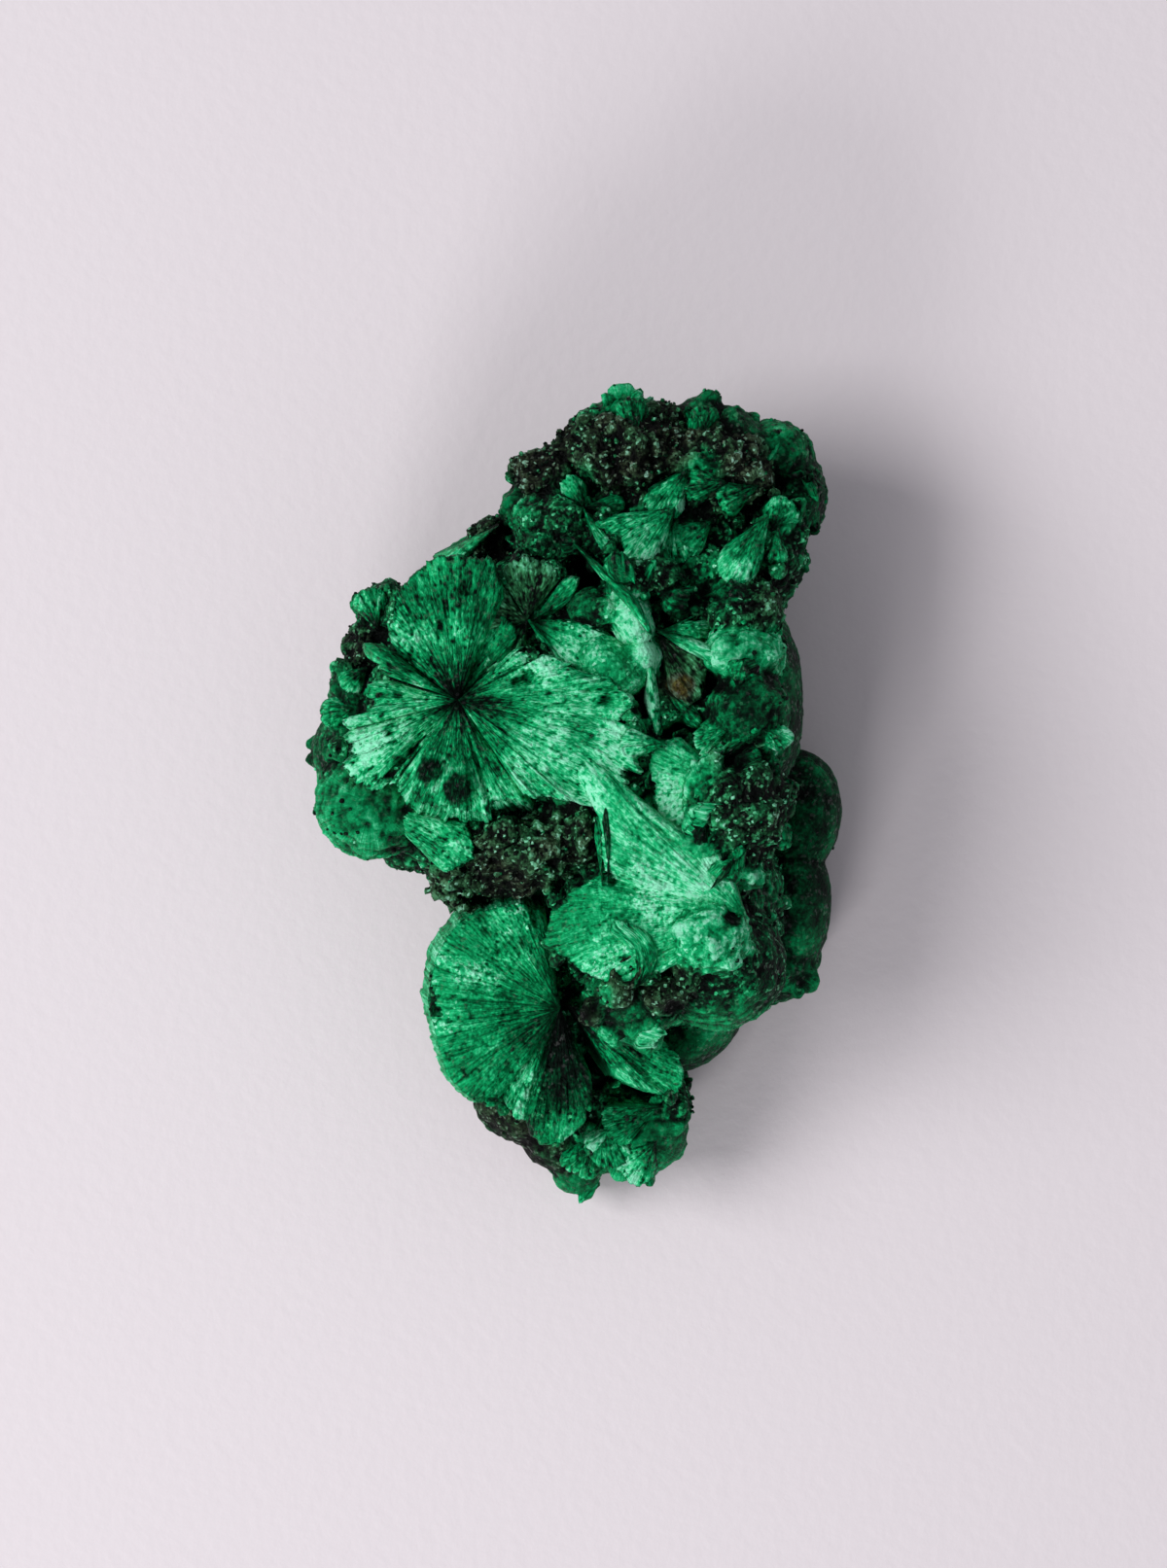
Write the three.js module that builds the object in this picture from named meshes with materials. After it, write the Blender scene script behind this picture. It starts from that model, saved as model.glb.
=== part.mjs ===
// A hand specimen of fibrous malachite: radiating sprays of silky fibres and rounded knobs,
// all grown together as one mass that was broken from its rock and rests on the broken face.
// Units are millimetres. +Z is up, and the broken face lies on z = 0 with the origin on it.
// +Y is the specimen's long way, called north in the names below, and +X is east.
import * as THREE from "three";
import { MarchingCubes } from "three/addons/objects/MarchingCubes.js";
import { mergeVertices } from "three/addons/utils/BufferGeometryUtils.js";

// Driving dimensions.
const LENGTH = 64; // north to south
const HEIGHT = 29; // broken face to the highest knob
const CELL = 1.7; // size of the cells in which the surface is traced, and so of its facets
const BLEND = 0.4; // width of the fillets where shapes meet
const LUMP_PITCH = 3.2; // distance between neighbouring lumps on the surface
const LUMP_HEIGHT = 0.28; // how far the lumps stand out
const LEAST_SHARE = 0.12; // the nearest that the surface comes to a cell's corner, as a share of CELL
const FLOOR_LAYER = 2.5; // where z = 0 is among the layers of corners
const MOST_TRIANGLES = 12000;

// The great masses that carry everything: centre, radii and turn about Z in degrees.
const MASSES = [
  { at: [4.2, -1, 4.5], radii: [11.5, 26.5, 11], turn: -8 },
  { at: [6.6, 18, 10.5], radii: [10.4, 11.2, 11.6] },
  { at: [5, 3, 11], radii: [12, 12, 14], turn: 10 },
  { at: [-9.2, 6.6, 10.5], radii: [9.4, 9.8, 12.6] },
  { at: [7.2, -9, 10.5], radii: [9.2, 9.8, 14], turn: -10 },
  { at: [-3.4, -17, 6.5], radii: [8, 7.8, 8.6] },
  { at: [3.2, -25.4, 5], radii: [5, 5, 6.4] },
  { at: [-2.4, 13.2, 13.6], radii: [6.4, 6.2, 9] },
  { at: [-8.4, -3.2, 12], radii: [6, 4, 7.6] },
  { at: [6.6, 11.4, 15], radii: [6, 6, 8.2] },
];

// Knobs on the north end, from its west side round the top to its east side.
const NORTH_KNOBS = [
  { at: [-9, 18.3, 12], radii: [2.6, 1.5, 3], turn: 38 },
  { at: [-6.2, 19.2, 13], radii: [2.8, 2.2, 4.2], turn: 25 },
  { at: [-3.8, 21.9, 15.5], radii: [2.2, 2.3, 3.4] },
  { at: [-2.6, 24.4, 17], radii: [2.2, 2.2, 2.8] },
  { at: [-0.3, 26.8, 17.5], radii: [1.8, 1.8, 2.4] },
  { at: [1.7, 27.6, 16.5], radii: [2.4, 2.6, 3.6] },
  { at: [3.8, 29, 16.5], radii: [2.4, 2.3, 3.2] },
  { at: [6.6, 27.8, 16.5], radii: [3, 2.4, 3.8] },
  { at: [9.9, 28.6, 15.5], radii: [2.4, 2.5, 3.6] },
  { at: [12.5, 27.2, 17], radii: [2.2, 2.5, 3.6] },
  { at: [15.8, 26.2, 14.5], radii: [2.9, 3.1, 5], turn: 30 },
  { at: [17.4, 23.3, 13.5], radii: [2.4, 3.5, 5.5] },
  { at: [15.4, 18.5, 17.5], radii: [2.4, 4, 5] },
  { at: [11, 25, 19.5], radii: [4.2, 3.2, 3.4] },
  { at: [4.6, 26, 19.5], radii: [4.2, 3, 3.6] },
  { at: [-1.4, 20.2, 19.4], radii: [3.5, 3.2, 3] },
];

// Knobs down the east side, high ones first, then the low ones that reach out at the foot.
const EAST_KNOBS = [
  { at: [9.2, 17.4, 20.2], radii: [2.5, 2.6, 2.8] },
  { at: [8.8, 14.1, 20.6], radii: [2.2, 2, 2.6] },
  { at: [12.8, 13.7, 21.8], radii: [3.2, 2.9, 3.6] },
  { at: [12.8, 10.4, 22.6], radii: [3.3, 2.5, 4] },
  { at: [13.3, 6.2, 23.2], radii: [3.3, 3.2, 4.4] },
  { at: [12.2, -0.8, 24], radii: [4.4, 4.8, 5] },
  { at: [10.1, -10.9, 24.9], radii: [3.3, 3.1, 3.8] },
  { at: [11, -13.5, 18.4], radii: [5.4, 5.1, 7] },
  { at: [15.6, 7, 12.5], radii: [2.4, 6.8, 8] },
  { at: [17.9, -1.6, 5.8], radii: [3.6, 5, 5] },
  { at: [17.6, -9, 4.6], radii: [3.1, 5.8, 5.4] },
  { at: [16.6, -14, 4.2], radii: [2.9, 3.1, 4.2] },
];

// Knobs down the west side and round the south end.
const WEST_KNOBS = [
  { at: [-14.8, 14.1, 14.5], radii: [2.5, 2.5, 4.6] },
  { at: [-16.1, 11, 13.5], radii: [2, 2.6, 5] },
  { at: [-17.4, 7.4, 12.5], radii: [2.1, 3.2, 6] },
  { at: [-18.3, 3.2, 12.5], radii: [2.6, 3.2, 5.4] },
  { at: [-15.7, -0.8, 15], radii: [4.7, 4.3, 5.6] },
  { at: [-13.2, -4.2, 12], radii: [2.4, 2.2, 3.6] },
  { at: [-8.8, -6.8, 14.6], radii: [2.7, 2.4, 4.6], turn: 30 },
  { at: [-3.2, -4.7, 18.6], radii: [6, 2.7, 4.6], turn: 26 },
  { at: [4.7, -16, 19.6], radii: [3.6, 3.2, 4.6] },
  { at: [9.2, -19.2, 6.5], radii: [5, 3, 6], turn: 35 },
  { at: [-4.6, -25.2, 5.4], radii: [4.2, 3.2, 5.2], turn: -38 },
  { at: [4.6, -27.2, 7.2], radii: [4.4, 3.9, 5.4] },
  { at: [7.2, -25, 8], radii: [1.9, 2.6, 4.2] },
  { at: [-2.2, -28.2, 4.6], radii: [3.2, 2.2, 4.6], turn: -38 },
  { at: [0.1, -30.6, 3.6], radii: [2.1, 2.3, 3.4] },
];

// Hollows: the cleft in the west side, the open pockets in the top and the deep cracks.
const HOLLOWS = [
  { at: [-6.5, -9.4, 16], radii: [4.4, 2.1, 4.6], turn: 12 },
  { at: [8.4, 5.2, 23.2], radii: [2.6, 2.4, 4] },
  { at: [5, 6.4, 22.8], radii: [1.2, 2.4, 3.2], turn: 25 },
  { at: [0.6, 16.6, 20.6], radii: [1.9, 1.3, 3], turn: -35 },
  { at: [2, -21.4, 13.4], radii: [1.6, 3, 3.4], turn: 14 },
  { at: [12.6, 2.6, 25.6], radii: [2, 0.9, 2.2] },
  { at: [-6, 18.6, 16.6], radii: [2.2, 1.1, 1.8], turn: 8 },
];

// Sprays: each is a sheet of fibres that fans out from an apex. The rim gives the radius at
// each heading, in degrees anticlockwise from +X, seen from above. The sheet's top climbs by
// slope[0] for each unit eastwards and by slope[1] for each unit northwards.
const SPRAYS = [
  { apex: [-9, 7, 24.6], slope: [0.02, 0.03], depth: 4,
    rim: [[68, 9.6], [78, 10.8], [92, 10.8], [110, 10], [124, 8.6], [142, 6.2]] },
  { apex: [-9, 7, 24.4], slope: [0.2, 0.1], depth: 4,
    rim: [[150, 6.3], [156, 6.8], [172, 8.2], [192, 8.9]] },
  { apex: [-9, 7, 24.4], slope: [0.22, 0.08], depth: 4,
    rim: [[196, 9], [206, 10.6], [219, 9.3], [234, 7.4]] },
  { apex: [-9, 7, 24.5], slope: [-0.04, 0.16], depth: 4,
    rim: [[236, 7.8], [252, 8.8], [272, 9.2], [290, 9.8], [306, 9.2]] },
  { apex: [-9, 7, 24.7], slope: [0.1, 0], depth: 3.4,
    rim: [[308, 9.6], [318, 11.6], [329, 15.2], [341, 14.6], [352, 13], [358, 14],
      [366, 11.2], [376, 9], [390, 7], [402, 5.4]] },
  { apex: [12.8, -9.4, 27], slope: [0.05, 0.03], depth: 4.4,
    rim: [[108, 5.6], [112, 8], [117, 10.4], [121, 12.6], [128, 14.2], [134, 15.6], [142, 15.8],
      [145, 13.2], [150, 12], [160, 10.6], [168, 11], [172, 12.6], [177, 14.4], [184, 15],
      [191, 15], [197, 14], [203, 12.8], [208, 11.4], [213, 8.4]] },
  { apex: [12.4, 0.4, 25.4], slope: [0.02, 0.02], depth: 3.5,
    rim: [[140, 5.6], [162, 6.8], [190, 6.8], [216, 7.2], [240, 6]] },
  { apex: [-1.3, -17, 17.2], slope: [0, 0.04], depth: 6,
    rim: [[100, 8], [121, 9.2], [140, 10.2], [156, 10.8], [174, 10.8], [190, 10.6],
      [208, 10.2], [224, 9.9], [238, 8]] },
  { apex: [-1.3, -17, 16.6], slope: [-0.12, 0.16], depth: 5,
    rim: [[240, 8.8], [250, 9], [258, 9.6], [270, 10.2], [284, 8.4]] },
  { apex: [-0.6, -17.2, 16], slope: [-0.22, 0.1], depth: 5,
    rim: [[306, 8.6], [317, 10.6], [328, 9.4], [338, 7]] },
  { apex: [-3.7, 13.2, 22], slope: [0, 0.06], depth: 3.4,
    rim: [[-52, 5.6], [-46, 8.4], [-36, 9.4], [-20, 6.6]] },
];

// How far a point is outside the lumps that cover every surface, between -1 and 1.
function lumps(x, y, z) {
  const k = (2 * Math.PI) / LUMP_PITCH;
  return Math.sin(0.83 * k * x + 1.7 * Math.sin(0.31 * k * y))
    * Math.sin(0.91 * k * y + 1.3 * Math.sin(0.37 * k * z))
    * Math.sin(0.77 * k * z + 1.1 * Math.sin(0.41 * k * x));
}

// Each function below makes a field: a function of a point that is negative inside a shape,
// positive outside it, and close to the distance from its surface.
function lobe({ at, radii, turn = 0 }) {
  const angle = THREE.MathUtils.degToRad(turn);
  const [c, s] = [Math.cos(angle), Math.sin(angle)];
  return (x, y, z) => {
    const [dx, dy] = [x - at[0], y - at[1]];
    const u = (c * dx + s * dy) / radii[0];
    const v = (c * dy - s * dx) / radii[1];
    const w = (z - at[2]) / radii[2];
    const scaled = Math.sqrt(u * u + v * v + w * w);
    const slope = Math.sqrt((u / radii[0]) ** 2 + (v / radii[1]) ** 2 + (w / radii[2]) ** 2);
    return slope > 0 ? (scaled * (scaled - 1)) / slope : -Math.min(...radii);
  };
}

function spray({ apex, slope, depth, rim }) {
  const start = rim[0][0];
  const end = rim.at(-1)[0];
  const middle = (start + end) / 2;
  return (x, y, z) => {
    const [dx, dy] = [x - apex[0], y - apex[1]];
    const heading = THREE.MathUtils.radToDeg(Math.atan2(dy, dx));
    const turned = middle + THREE.MathUtils.euclideanModulo(heading - middle + 180, 360) - 180;
    const held = THREE.MathUtils.clamp(turned, start, end);
    const after = Math.max(1, rim.findIndex(([angle]) => angle >= held));
    const [[a0, r0], [a1, r1]] = [rim[after - 1], rim[after]];
    const radius = THREE.MathUtils.mapLinear(held, a0, a1, r0, r1);
    const out = Math.hypot(dx, dy);
    const above = z - apex[2] - slope[0] * dx - slope[1] * dy;
    const beside = out * THREE.MathUtils.degToRad(Math.max(start - turned, turned - end));
    return Math.max(out - radius, above, -above - depth, beside);
  };
}

// Joins fields, with a fillet about as wide as BLEND where two shapes meet.
function join(fields) {
  return (x, y, z) => {
    const near = fields.reduce((sum, field) => sum + Math.exp(-field(x, y, z) / BLEND), 0);
    return -BLEND * Math.log(near);
  };
}

const solids = join([
  ...[...MASSES, ...NORTH_KNOBS, ...EAST_KNOBS, ...WEST_KNOBS].map(lobe),
  ...SPRAYS.map(spray),
]);
const hollows = join(HOLLOWS.map(lobe));
const specimen = (x, y, z) =>
  Math.max(solids(x, y, z) - LUMP_HEIGHT * lumps(x, y, z), -hollows(x, y, z), -z);

// Samples a field, its sign turned round, at the corners of a cube of cells. One layer of corners
// lies half a cell under the broken face and the next half a cell over it, so that the traced
// face comes out flat on z = 0.
function sample(field) {
  const across = Math.ceil(LENGTH / CELL) + 6;
  const cubes = new MarchingCubes(across, undefined, false, false, MOST_TRIANGLES);
  const least = LEAST_SHARE * CELL;
  const middle = across / 2;
  for (let k = 0; k < across; k++)
    for (let j = 0; j < across; j++)
      for (let i = 0; i < across; i++) {
        const value = field((i - middle) * CELL, (j - middle) * CELL, (k - FLOOR_LAYER) * CELL);
        cubes.setCell(i, j, k, value < 0 ? Math.max(-value, least) : Math.min(-value, -least));
      }
  cubes.isolation = 0;
  return cubes;
}

// Turns over the sign of every corner that isn't joined to the start through corners of its own
// sign. From outside, this fills the pockets that have no way out, and from inside it removes
// the crumbs that touch nothing.
function settle({ field, size, size2 }, start) {
  const sign = Math.sign(field[start]);
  const reached = new Uint8Array(field.length);
  const front = [start];
  reached[start] = 1;
  while (front.length) {
    const at = front.pop();
    for (const step of [-1, 1, -size, size, -size2, size2]) {
      const next = at + step;
      if (!reached[next] && Math.sign(field[next]) === sign) {
        reached[next] = 1;
        front.push(next);
      }
    }
  }
  field.forEach((value, i) => {
    if (Math.sign(value) === sign && !reached[i]) field[i] = -value;
  });
}

// The closed surface on which a sampled field is zero.
function trace(cubes) {
  cubes.update();
  const corners = cubes.positionArray.slice(0, 3 * cubes.count);
  const geometry = new THREE.BufferGeometry();
  geometry.setAttribute("position", new THREE.BufferAttribute(corners, 3));
  geometry.scale(...new Array(3).fill((cubes.size * CELL) / 2));
  geometry.translate(0, 0, (cubes.size / 2 - FLOOR_LAYER) * CELL);
  const surface = mergeVertices(geometry, 1e-3);
  surface.computeVertexNormals();
  return surface;
}

const cubes = sample(specimen);
const { size, size2 } = cubes;
settle(cubes, size + 1 + size2);
settle(cubes, size2 * Math.floor(HEIGHT / 3 / CELL) + (size2 + size) / 2);

const malachite = new THREE.Mesh(
  trace(cubes),
  new THREE.MeshStandardMaterial({ color: 0x0a7a4e, roughness: 0.55, metalness: 0 }),
);
malachite.name = "malachite";

const group = new THREE.Group();
group.add(malachite);
export default group;
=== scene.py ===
"""A hand specimen of fibrous malachite on pale paper, looked down on from straight above.

Sizes and places are millimetres until a mesh is made, which is in metres. +Y, the specimen's long
way, is called north. Each spray of fibres is a closed sheet that fans out from an apex, and they
stand on one lumpy body that has the same lobes as the solid model."""

import math

import bmesh
import bpy
import numpy as np
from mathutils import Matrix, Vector


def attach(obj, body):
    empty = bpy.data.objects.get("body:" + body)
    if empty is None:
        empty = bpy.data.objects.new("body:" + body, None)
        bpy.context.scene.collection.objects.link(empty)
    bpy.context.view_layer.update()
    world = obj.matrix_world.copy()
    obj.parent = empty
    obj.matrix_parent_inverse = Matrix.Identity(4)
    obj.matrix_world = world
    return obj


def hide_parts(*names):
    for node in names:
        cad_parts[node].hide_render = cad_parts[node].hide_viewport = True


MM = 0.001
BODY = "root"
NODE = "malachite"
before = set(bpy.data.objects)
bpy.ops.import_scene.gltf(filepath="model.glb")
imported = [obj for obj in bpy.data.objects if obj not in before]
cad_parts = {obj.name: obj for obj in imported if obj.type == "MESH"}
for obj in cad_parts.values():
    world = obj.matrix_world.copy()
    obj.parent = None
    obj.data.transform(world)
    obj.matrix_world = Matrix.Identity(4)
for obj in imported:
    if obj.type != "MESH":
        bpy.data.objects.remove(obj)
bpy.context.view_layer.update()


# Noise ---------------------------------------------------------------------------------------

def chance(*keys):
    """A number between 0 and 1 that looks random but is always the same for the same keys."""
    mixed = np.uint64(1469598103)
    for key in keys:
        mixed = (mixed ^ np.asarray(key, np.int64).astype(np.uint64)) * np.uint64(1099511628211)
        mixed = mixed ^ (mixed >> np.uint64(29))
    mixed = mixed * np.uint64(2654435769)
    return ((mixed >> np.uint64(20)) & np.uint64(0xFFFFFF)).astype(float) / 0xFFFFFF


def step(x, low, high):
    """0 below low, 1 above high, and a smooth ramp between."""
    t = np.clip((x - low) / (high - low), 0, 1)
    return t * t * (3 - 2 * t)


def noise(points, pitch, seed):
    """Smooth noise between -1 and 1, with bumps about pitch apart."""
    scaled = np.asarray(points) / pitch
    cell = np.floor(scaled).astype(np.int64)
    part = scaled - cell
    part = part * part * (3 - 2 * part)
    total = 0
    for corner in np.ndindex(2, 2, 2):
        weight = np.prod([part[:, i] if c else 1 - part[:, i] for i, c in enumerate(corner)], axis=0)
        total = total + weight * chance(*(cell + corner).T, seed)
    return 2 * total - 1


def rough(points, pitch, seed, octaves=3):
    return sum(noise(points, pitch / 2**i, seed + i) / 2**i for i in range(octaves))


def grid_noise(x, y, z, seed):
    """Noise with bumps about 1 apart over a grid, from coordinates that broadcast together."""
    grid = np.stack(np.broadcast_arrays(x, y, z), -1)
    return noise(grid.reshape(-1, 3), 1.0, seed).reshape(grid.shape[:-1])


def cells(along, width, seed):
    """Cuts a line into uneven cells: each place's cell, and where in it from -1 to 1."""
    def edge(i):
        return (i + 0.7 * (chance(i, seed) - 0.5)) * width
    cell = np.floor(along / width).astype(np.int64)
    cell = cell - (along < edge(cell)) + (along >= edge(cell + 1))
    low, high = edge(cell), edge(cell + 1)
    return cell, 2 * (along - low) / (high - low) - 1


# Meshes --------------------------------------------------------------------------------------

def new_piece(name, points, faces, smooth=True, **values):
    """A piece from points in millimetres, with a value per vertex for each named attribute."""
    mesh = bpy.data.meshes.new(name)
    mesh.from_pydata((np.asarray(points) * MM).tolist(), [], faces)
    mesh.shade_smooth() if smooth else mesh.shade_flat()
    for key, value in values.items():
        value = np.asarray(value, float)
        form = "FLOAT_VECTOR" if value.ndim == 2 else "FLOAT"
        data = mesh.attributes.new(key, form, "POINT").data
        data.foreach_set("vector" if value.ndim == 2 else "value", value.ravel())
    mesh.materials.append(malachite)
    piece = bpy.data.objects.new(name, mesh)
    bpy.context.scene.collection.objects.link(piece)
    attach(piece, BODY)
    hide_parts(NODE)
    return piece


def axes(normal):
    """The directions of a sheet's own east, north and up, for a sheet that faces along normal."""
    up = np.array(normal, float)
    up /= np.linalg.norm(up)
    north = np.array([0, 1, 0] if abs(up[2]) > 0.75 else [0, 0, 1], float)
    north -= up * (north @ up)
    north /= np.linalg.norm(north)
    return np.array([np.cross(north, up), north, up])


# Material ------------------------------------------------------------------------------------

def linear(*rgb):
    return [*(((c / 255 + 0.055) / 1.055) ** 2.4 if c > 10 else c / 255 / 12.92 for c in rgb), 1]


def make_malachite():
    """Silky green, from near black to mint by the vertex value "tone", and brown by "rust".
    "silk" says how far the surface is fibres, which lie along "fibre", and not grains."""
    material = bpy.data.materials.new("silky_malachite")
    material.use_nodes = True
    tree = material.node_tree
    tree.nodes.clear()

    def node(kind, **settings):
        made = tree.nodes.new("ShaderNode" + kind)
        for key, value in settings.items():
            if key in made.inputs:
                socket = made.inputs[key]
                if isinstance(value, bpy.types.NodeSocket):
                    tree.links.new(value, socket)
                else:
                    socket.default_value = value
            else:
                setattr(made, key, value)
        return made

    def maths(operation, a, b=0.0, c=0.0, clamp=False):
        made = node("Math", operation=operation, use_clamp=clamp)
        for socket, value in zip(made.inputs, (a, b, c)):
            if isinstance(value, bpy.types.NodeSocket):
                tree.links.new(value, socket)
            else:
                socket.default_value = value
        return made.outputs[0]

    def attribute(name, output="Fac"):
        return node("Attribute", attribute_name=name).outputs[output]

    def ramp(value, *stops):
        made = node("ValToRGB", Fac=value)
        elements = made.color_ramp.elements
        elements.remove(elements[0])
        elements[0].position, elements[0].color = stops[0]
        for where, colour in stops[1:]:
            elements.new(where).color = colour
        return made.outputs["Color"]

    def mix(share, a, b):
        made = node("Mix", data_type="RGBA")
        for name, kind, value in (("Factor", "VALUE", share), ("A", "RGBA", a), ("B", "RGBA", b)):
            socket = next(s for s in made.inputs if s.name == name and s.type == kind)
            tree.links.new(value, socket)
        return next(s for s in made.outputs if s.type == "RGBA")

    tone = attribute("tone")
    silk = attribute("silk")
    rust = attribute("rust")
    place = node("TexCoord").outputs["Object"]
    streaks = node("TexNoise", Vector=attribute("fibre", "Vector"), Scale=1.6, Detail=3.0,
                   Roughness=0.7).outputs["Fac"]
    grains = node("TexNoise", Vector=place, Scale=2600.0, Detail=4.0, Roughness=0.7).outputs["Fac"]
    crystals = node("TexVoronoi", Vector=place, Scale=3300.0).outputs["Distance"]
    spangle = node("TexVoronoi", Vector=place, Scale=4200.0).outputs["Color"]
    mottle = node("TexNoise", Vector=place, Scale=700.0, Detail=3.0).outputs["Fac"]

    streaked = maths("MULTIPLY", maths("SUBTRACT", streaks, 0.5), maths("MULTIPLY", silk, 1.4))
    grained = maths("MULTIPLY", maths("SUBTRACT", grains, 0.5),
                    maths("MULTIPLY_ADD", silk, -0.3, 0.6))
    mottled = maths("MULTIPLY", maths("SUBTRACT", mottle, 0.5), 0.3)
    facet = node("SeparateColor", Color=spangle)
    faceted = maths("MULTIPLY", maths("SUBTRACT", facet.outputs[1], 0.5),
                    maths("MULTIPLY_ADD", silk, -0.34, 0.34))
    textured = maths("ADD", maths("ADD", grained, mottled), faceted)
    # glint picks the brightest grains. Where a surface has little silk, painted_glints lifts their colour
    # toward pale mint or the silvery top of the brown ramp: painted glints. lustre and roughness below
    # give the real glints.
    glint = maths("GREATER_THAN", facet.outputs[0], 0.9)
    painted_glints = maths("MULTIPLY", glint, maths("MULTIPLY_ADD", silk, -1.0, 0.46, clamp=True))
    level = maths("ADD", maths("ADD", tone, streaked), maths("ADD", textured, painted_glints), clamp=True)
    green = ramp(level, (0.0, linear(0, 5, 3)), (0.15, linear(0, 24, 13)),
                 (0.32, linear(0, 64, 35)), (0.5, linear(0, 118, 67)),
                 (0.66, linear(2, 160, 94)), (0.78, linear(32, 190, 122)),
                 (0.9, linear(92, 220, 160)), (1.0, linear(146, 240, 198)))
    # The brown ramp's top stop, silvery mint, is reached mostly by the painted glints.
    brown = ramp(level, (0.0, linear(2, 2, 2)), (0.2, linear(17, 11, 9)),
                 (0.4, linear(44, 32, 27)), (0.62, linear(92, 88, 80)),
                 (0.85, linear(126, 156, 142)))
    ochre = ramp(grains, (0.35, linear(16, 20, 8)), (0.52, linear(70, 62, 28)),
                 (0.7, linear(104, 104, 54)))
    brown = mix(maths("MULTIPLY_ADD", rust, 5.0, -4.0, clamp=True), brown, ochre)
    colour = mix(rust, green, brown)

    roughness = maths("MULTIPLY_ADD", glint, -0.2, maths("MULTIPLY_ADD", streaks, 0.3, 0.4))
    lustre = maths("MULTIPLY_ADD", glint, 0.34, 0.08)
    height = maths("ADD", maths("MULTIPLY", streaks, maths("MULTIPLY", silk, 0.9)),
                   maths("MULTIPLY", maths("SUBTRACT", grains, crystals),
                         maths("MULTIPLY_ADD", silk, -0.5, 0.7)))
    bump = node("Bump", Height=height, Strength=1.0, Distance=0.0003)
    shader = node("BsdfPrincipled", **{"Base Color": colour, "Roughness": roughness,
                                       "Normal": bump.outputs[0], "Anisotropic": 0.6,
                                       "Tangent": attribute("along", "Vector"),
                                       "Specular IOR Level": lustre})
    node("OutputMaterial", Surface=shader.outputs[0])
    return material


malachite = make_malachite()


# Sprays --------------------------------------------------------------------------------------

COLUMN = 0.09  # between fibres' columns of vertices, at the rim
ROW = 0.18  # between rows of vertices along the fibres
BUNDLE, STRAND, FIBRE = 1.9, 0.55, 0.17  # widths at the rim of what a spray splits into
fans = []
# Dents in the sprays, painted darker as painted shade, seen from above: place, radius, depth, and how pale
# a ring they have.
HOLES = [
    (-12.4, 3.2, 0.5, 0.5, 0),
    (-3.6, 8.8, 0.5, 0.7, 0), (-4.3, 8.5, 0.4, 0.7, 0), (-8.4, 15.5, 0.6, 0.5, 0),
    (-12.4, 10.2, 0.5, 0.8, 0), (2.4, 7, 0.45, 0.6, 0), (4.2, 5.6, 0.5, 0.8, 0),
    (-10.4, 12.3, 0.5, 0.5, 0), (2.8, -6.9, 0.3, 0.6, 0), (-8.4, -0.9, 0.5, 0.5, 0),
    (11.9, -10.1, 0.5, 0.5, 0.1), (-14.2, 4.6, 0.4, 0.5, 0), (-6, -12.5, 0.3, 0.4, 0),
]
# Dark round bumps in the sprays, each with a pale ring: place and radius.
BUMPS = [(-11.2, 1.5, 1.0), (-9.1, 0.2, 1.25), (-6.4, -1.2, 0.6)]
STAIN = (7.9, 8.1, 1.15)  # a spot of ochre: place and radius
# Paler or darker places in the sprays, seen from above: place, radius and change of tone.
# The three small pale ones in a row from (2.6, -20.6) to (5.1, -24) are a painted highlight
# along the ridge of the south rosette's east petal.
BLUSHES = [
    (8.4, -6.2, 2.6, 0.18), (-9, 16.4, 2.2, -0.14), (-13.6, 4.2, 2, 0.04),
    (-16.6, 3.4, 2, 0.1), (7.6, -9.4, 2.4, 0.16), (-3, -12, 2, -0.1), (-3.6, -19, 2.5, -0.08),
    (1, 0.2, 2, 0.1), (1.6, -9.5, 2.4, -0.06), (2.6, -20.6, 0.8, 0.2), (3.9, -22.3, 0.8, 0.2),
    (5.1, -24, 0.8, 0.2), (-0.9, -26.6, 1.2, 0.2), (-14, 4.4, 3, 0.04),
]


def rim_of(spray, heading):
    """The rim's radius at each heading, with its corners eased."""
    angles, radii = np.array(spray["rim"], float).T
    eased = [np.interp(heading + shift, angles, radii) for shift in (-1.5, -0.75, 0, 0.75, 1.5)]
    return np.mean(eased, axis=0)


def apart(world, x, y, width):
    """How far points lie from a place, seen from above, in widths."""
    return np.hypot(world[..., 0] - x, world[..., 1] - y) / width


def add_marks(world, colour, clumps, speckle, on_face):
    """Moves a sheet's points, in place, for its holes and bumps, and returns its colour with
    those and the blushes. on_face is 1 on the sheet's face and 0 on its wall."""
    for *where, gain in BLUSHES:
        far = apart(world, *where) + 0.3 * clumps
        colour = colour + gain * np.exp(-(far**2)) * (1 + 0.5 * speckle)
    for *where, sunk, ring in HOLES:
        far = apart(world, *where) + 0.25 * speckle
        hole = np.exp(-(far**4)) * on_face
        world[..., 2] -= sunk * hole
        # Each hole is painted darker: painted shade in the dent.
        colour = colour - 0.26 * hole + ring * np.exp(-(((far - 1.6) / 0.4) ** 2)) * on_face
    for x, y, width in BUMPS:
        far = apart(world, x, y, width) + 0.15 * clumps
        world[..., 2] += 0.8 * width * np.sqrt(np.clip(1 - far**2 / 1.5, 0, 1)) * on_face
        colour = colour + (0.2 + 0.1 * speckle - colour) * step(-far, -1.1, -0.7) * on_face
        colour = colour + 0.22 * np.exp(-(((far - 1.35) / 0.3) ** 2)) * on_face
    return colour


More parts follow.
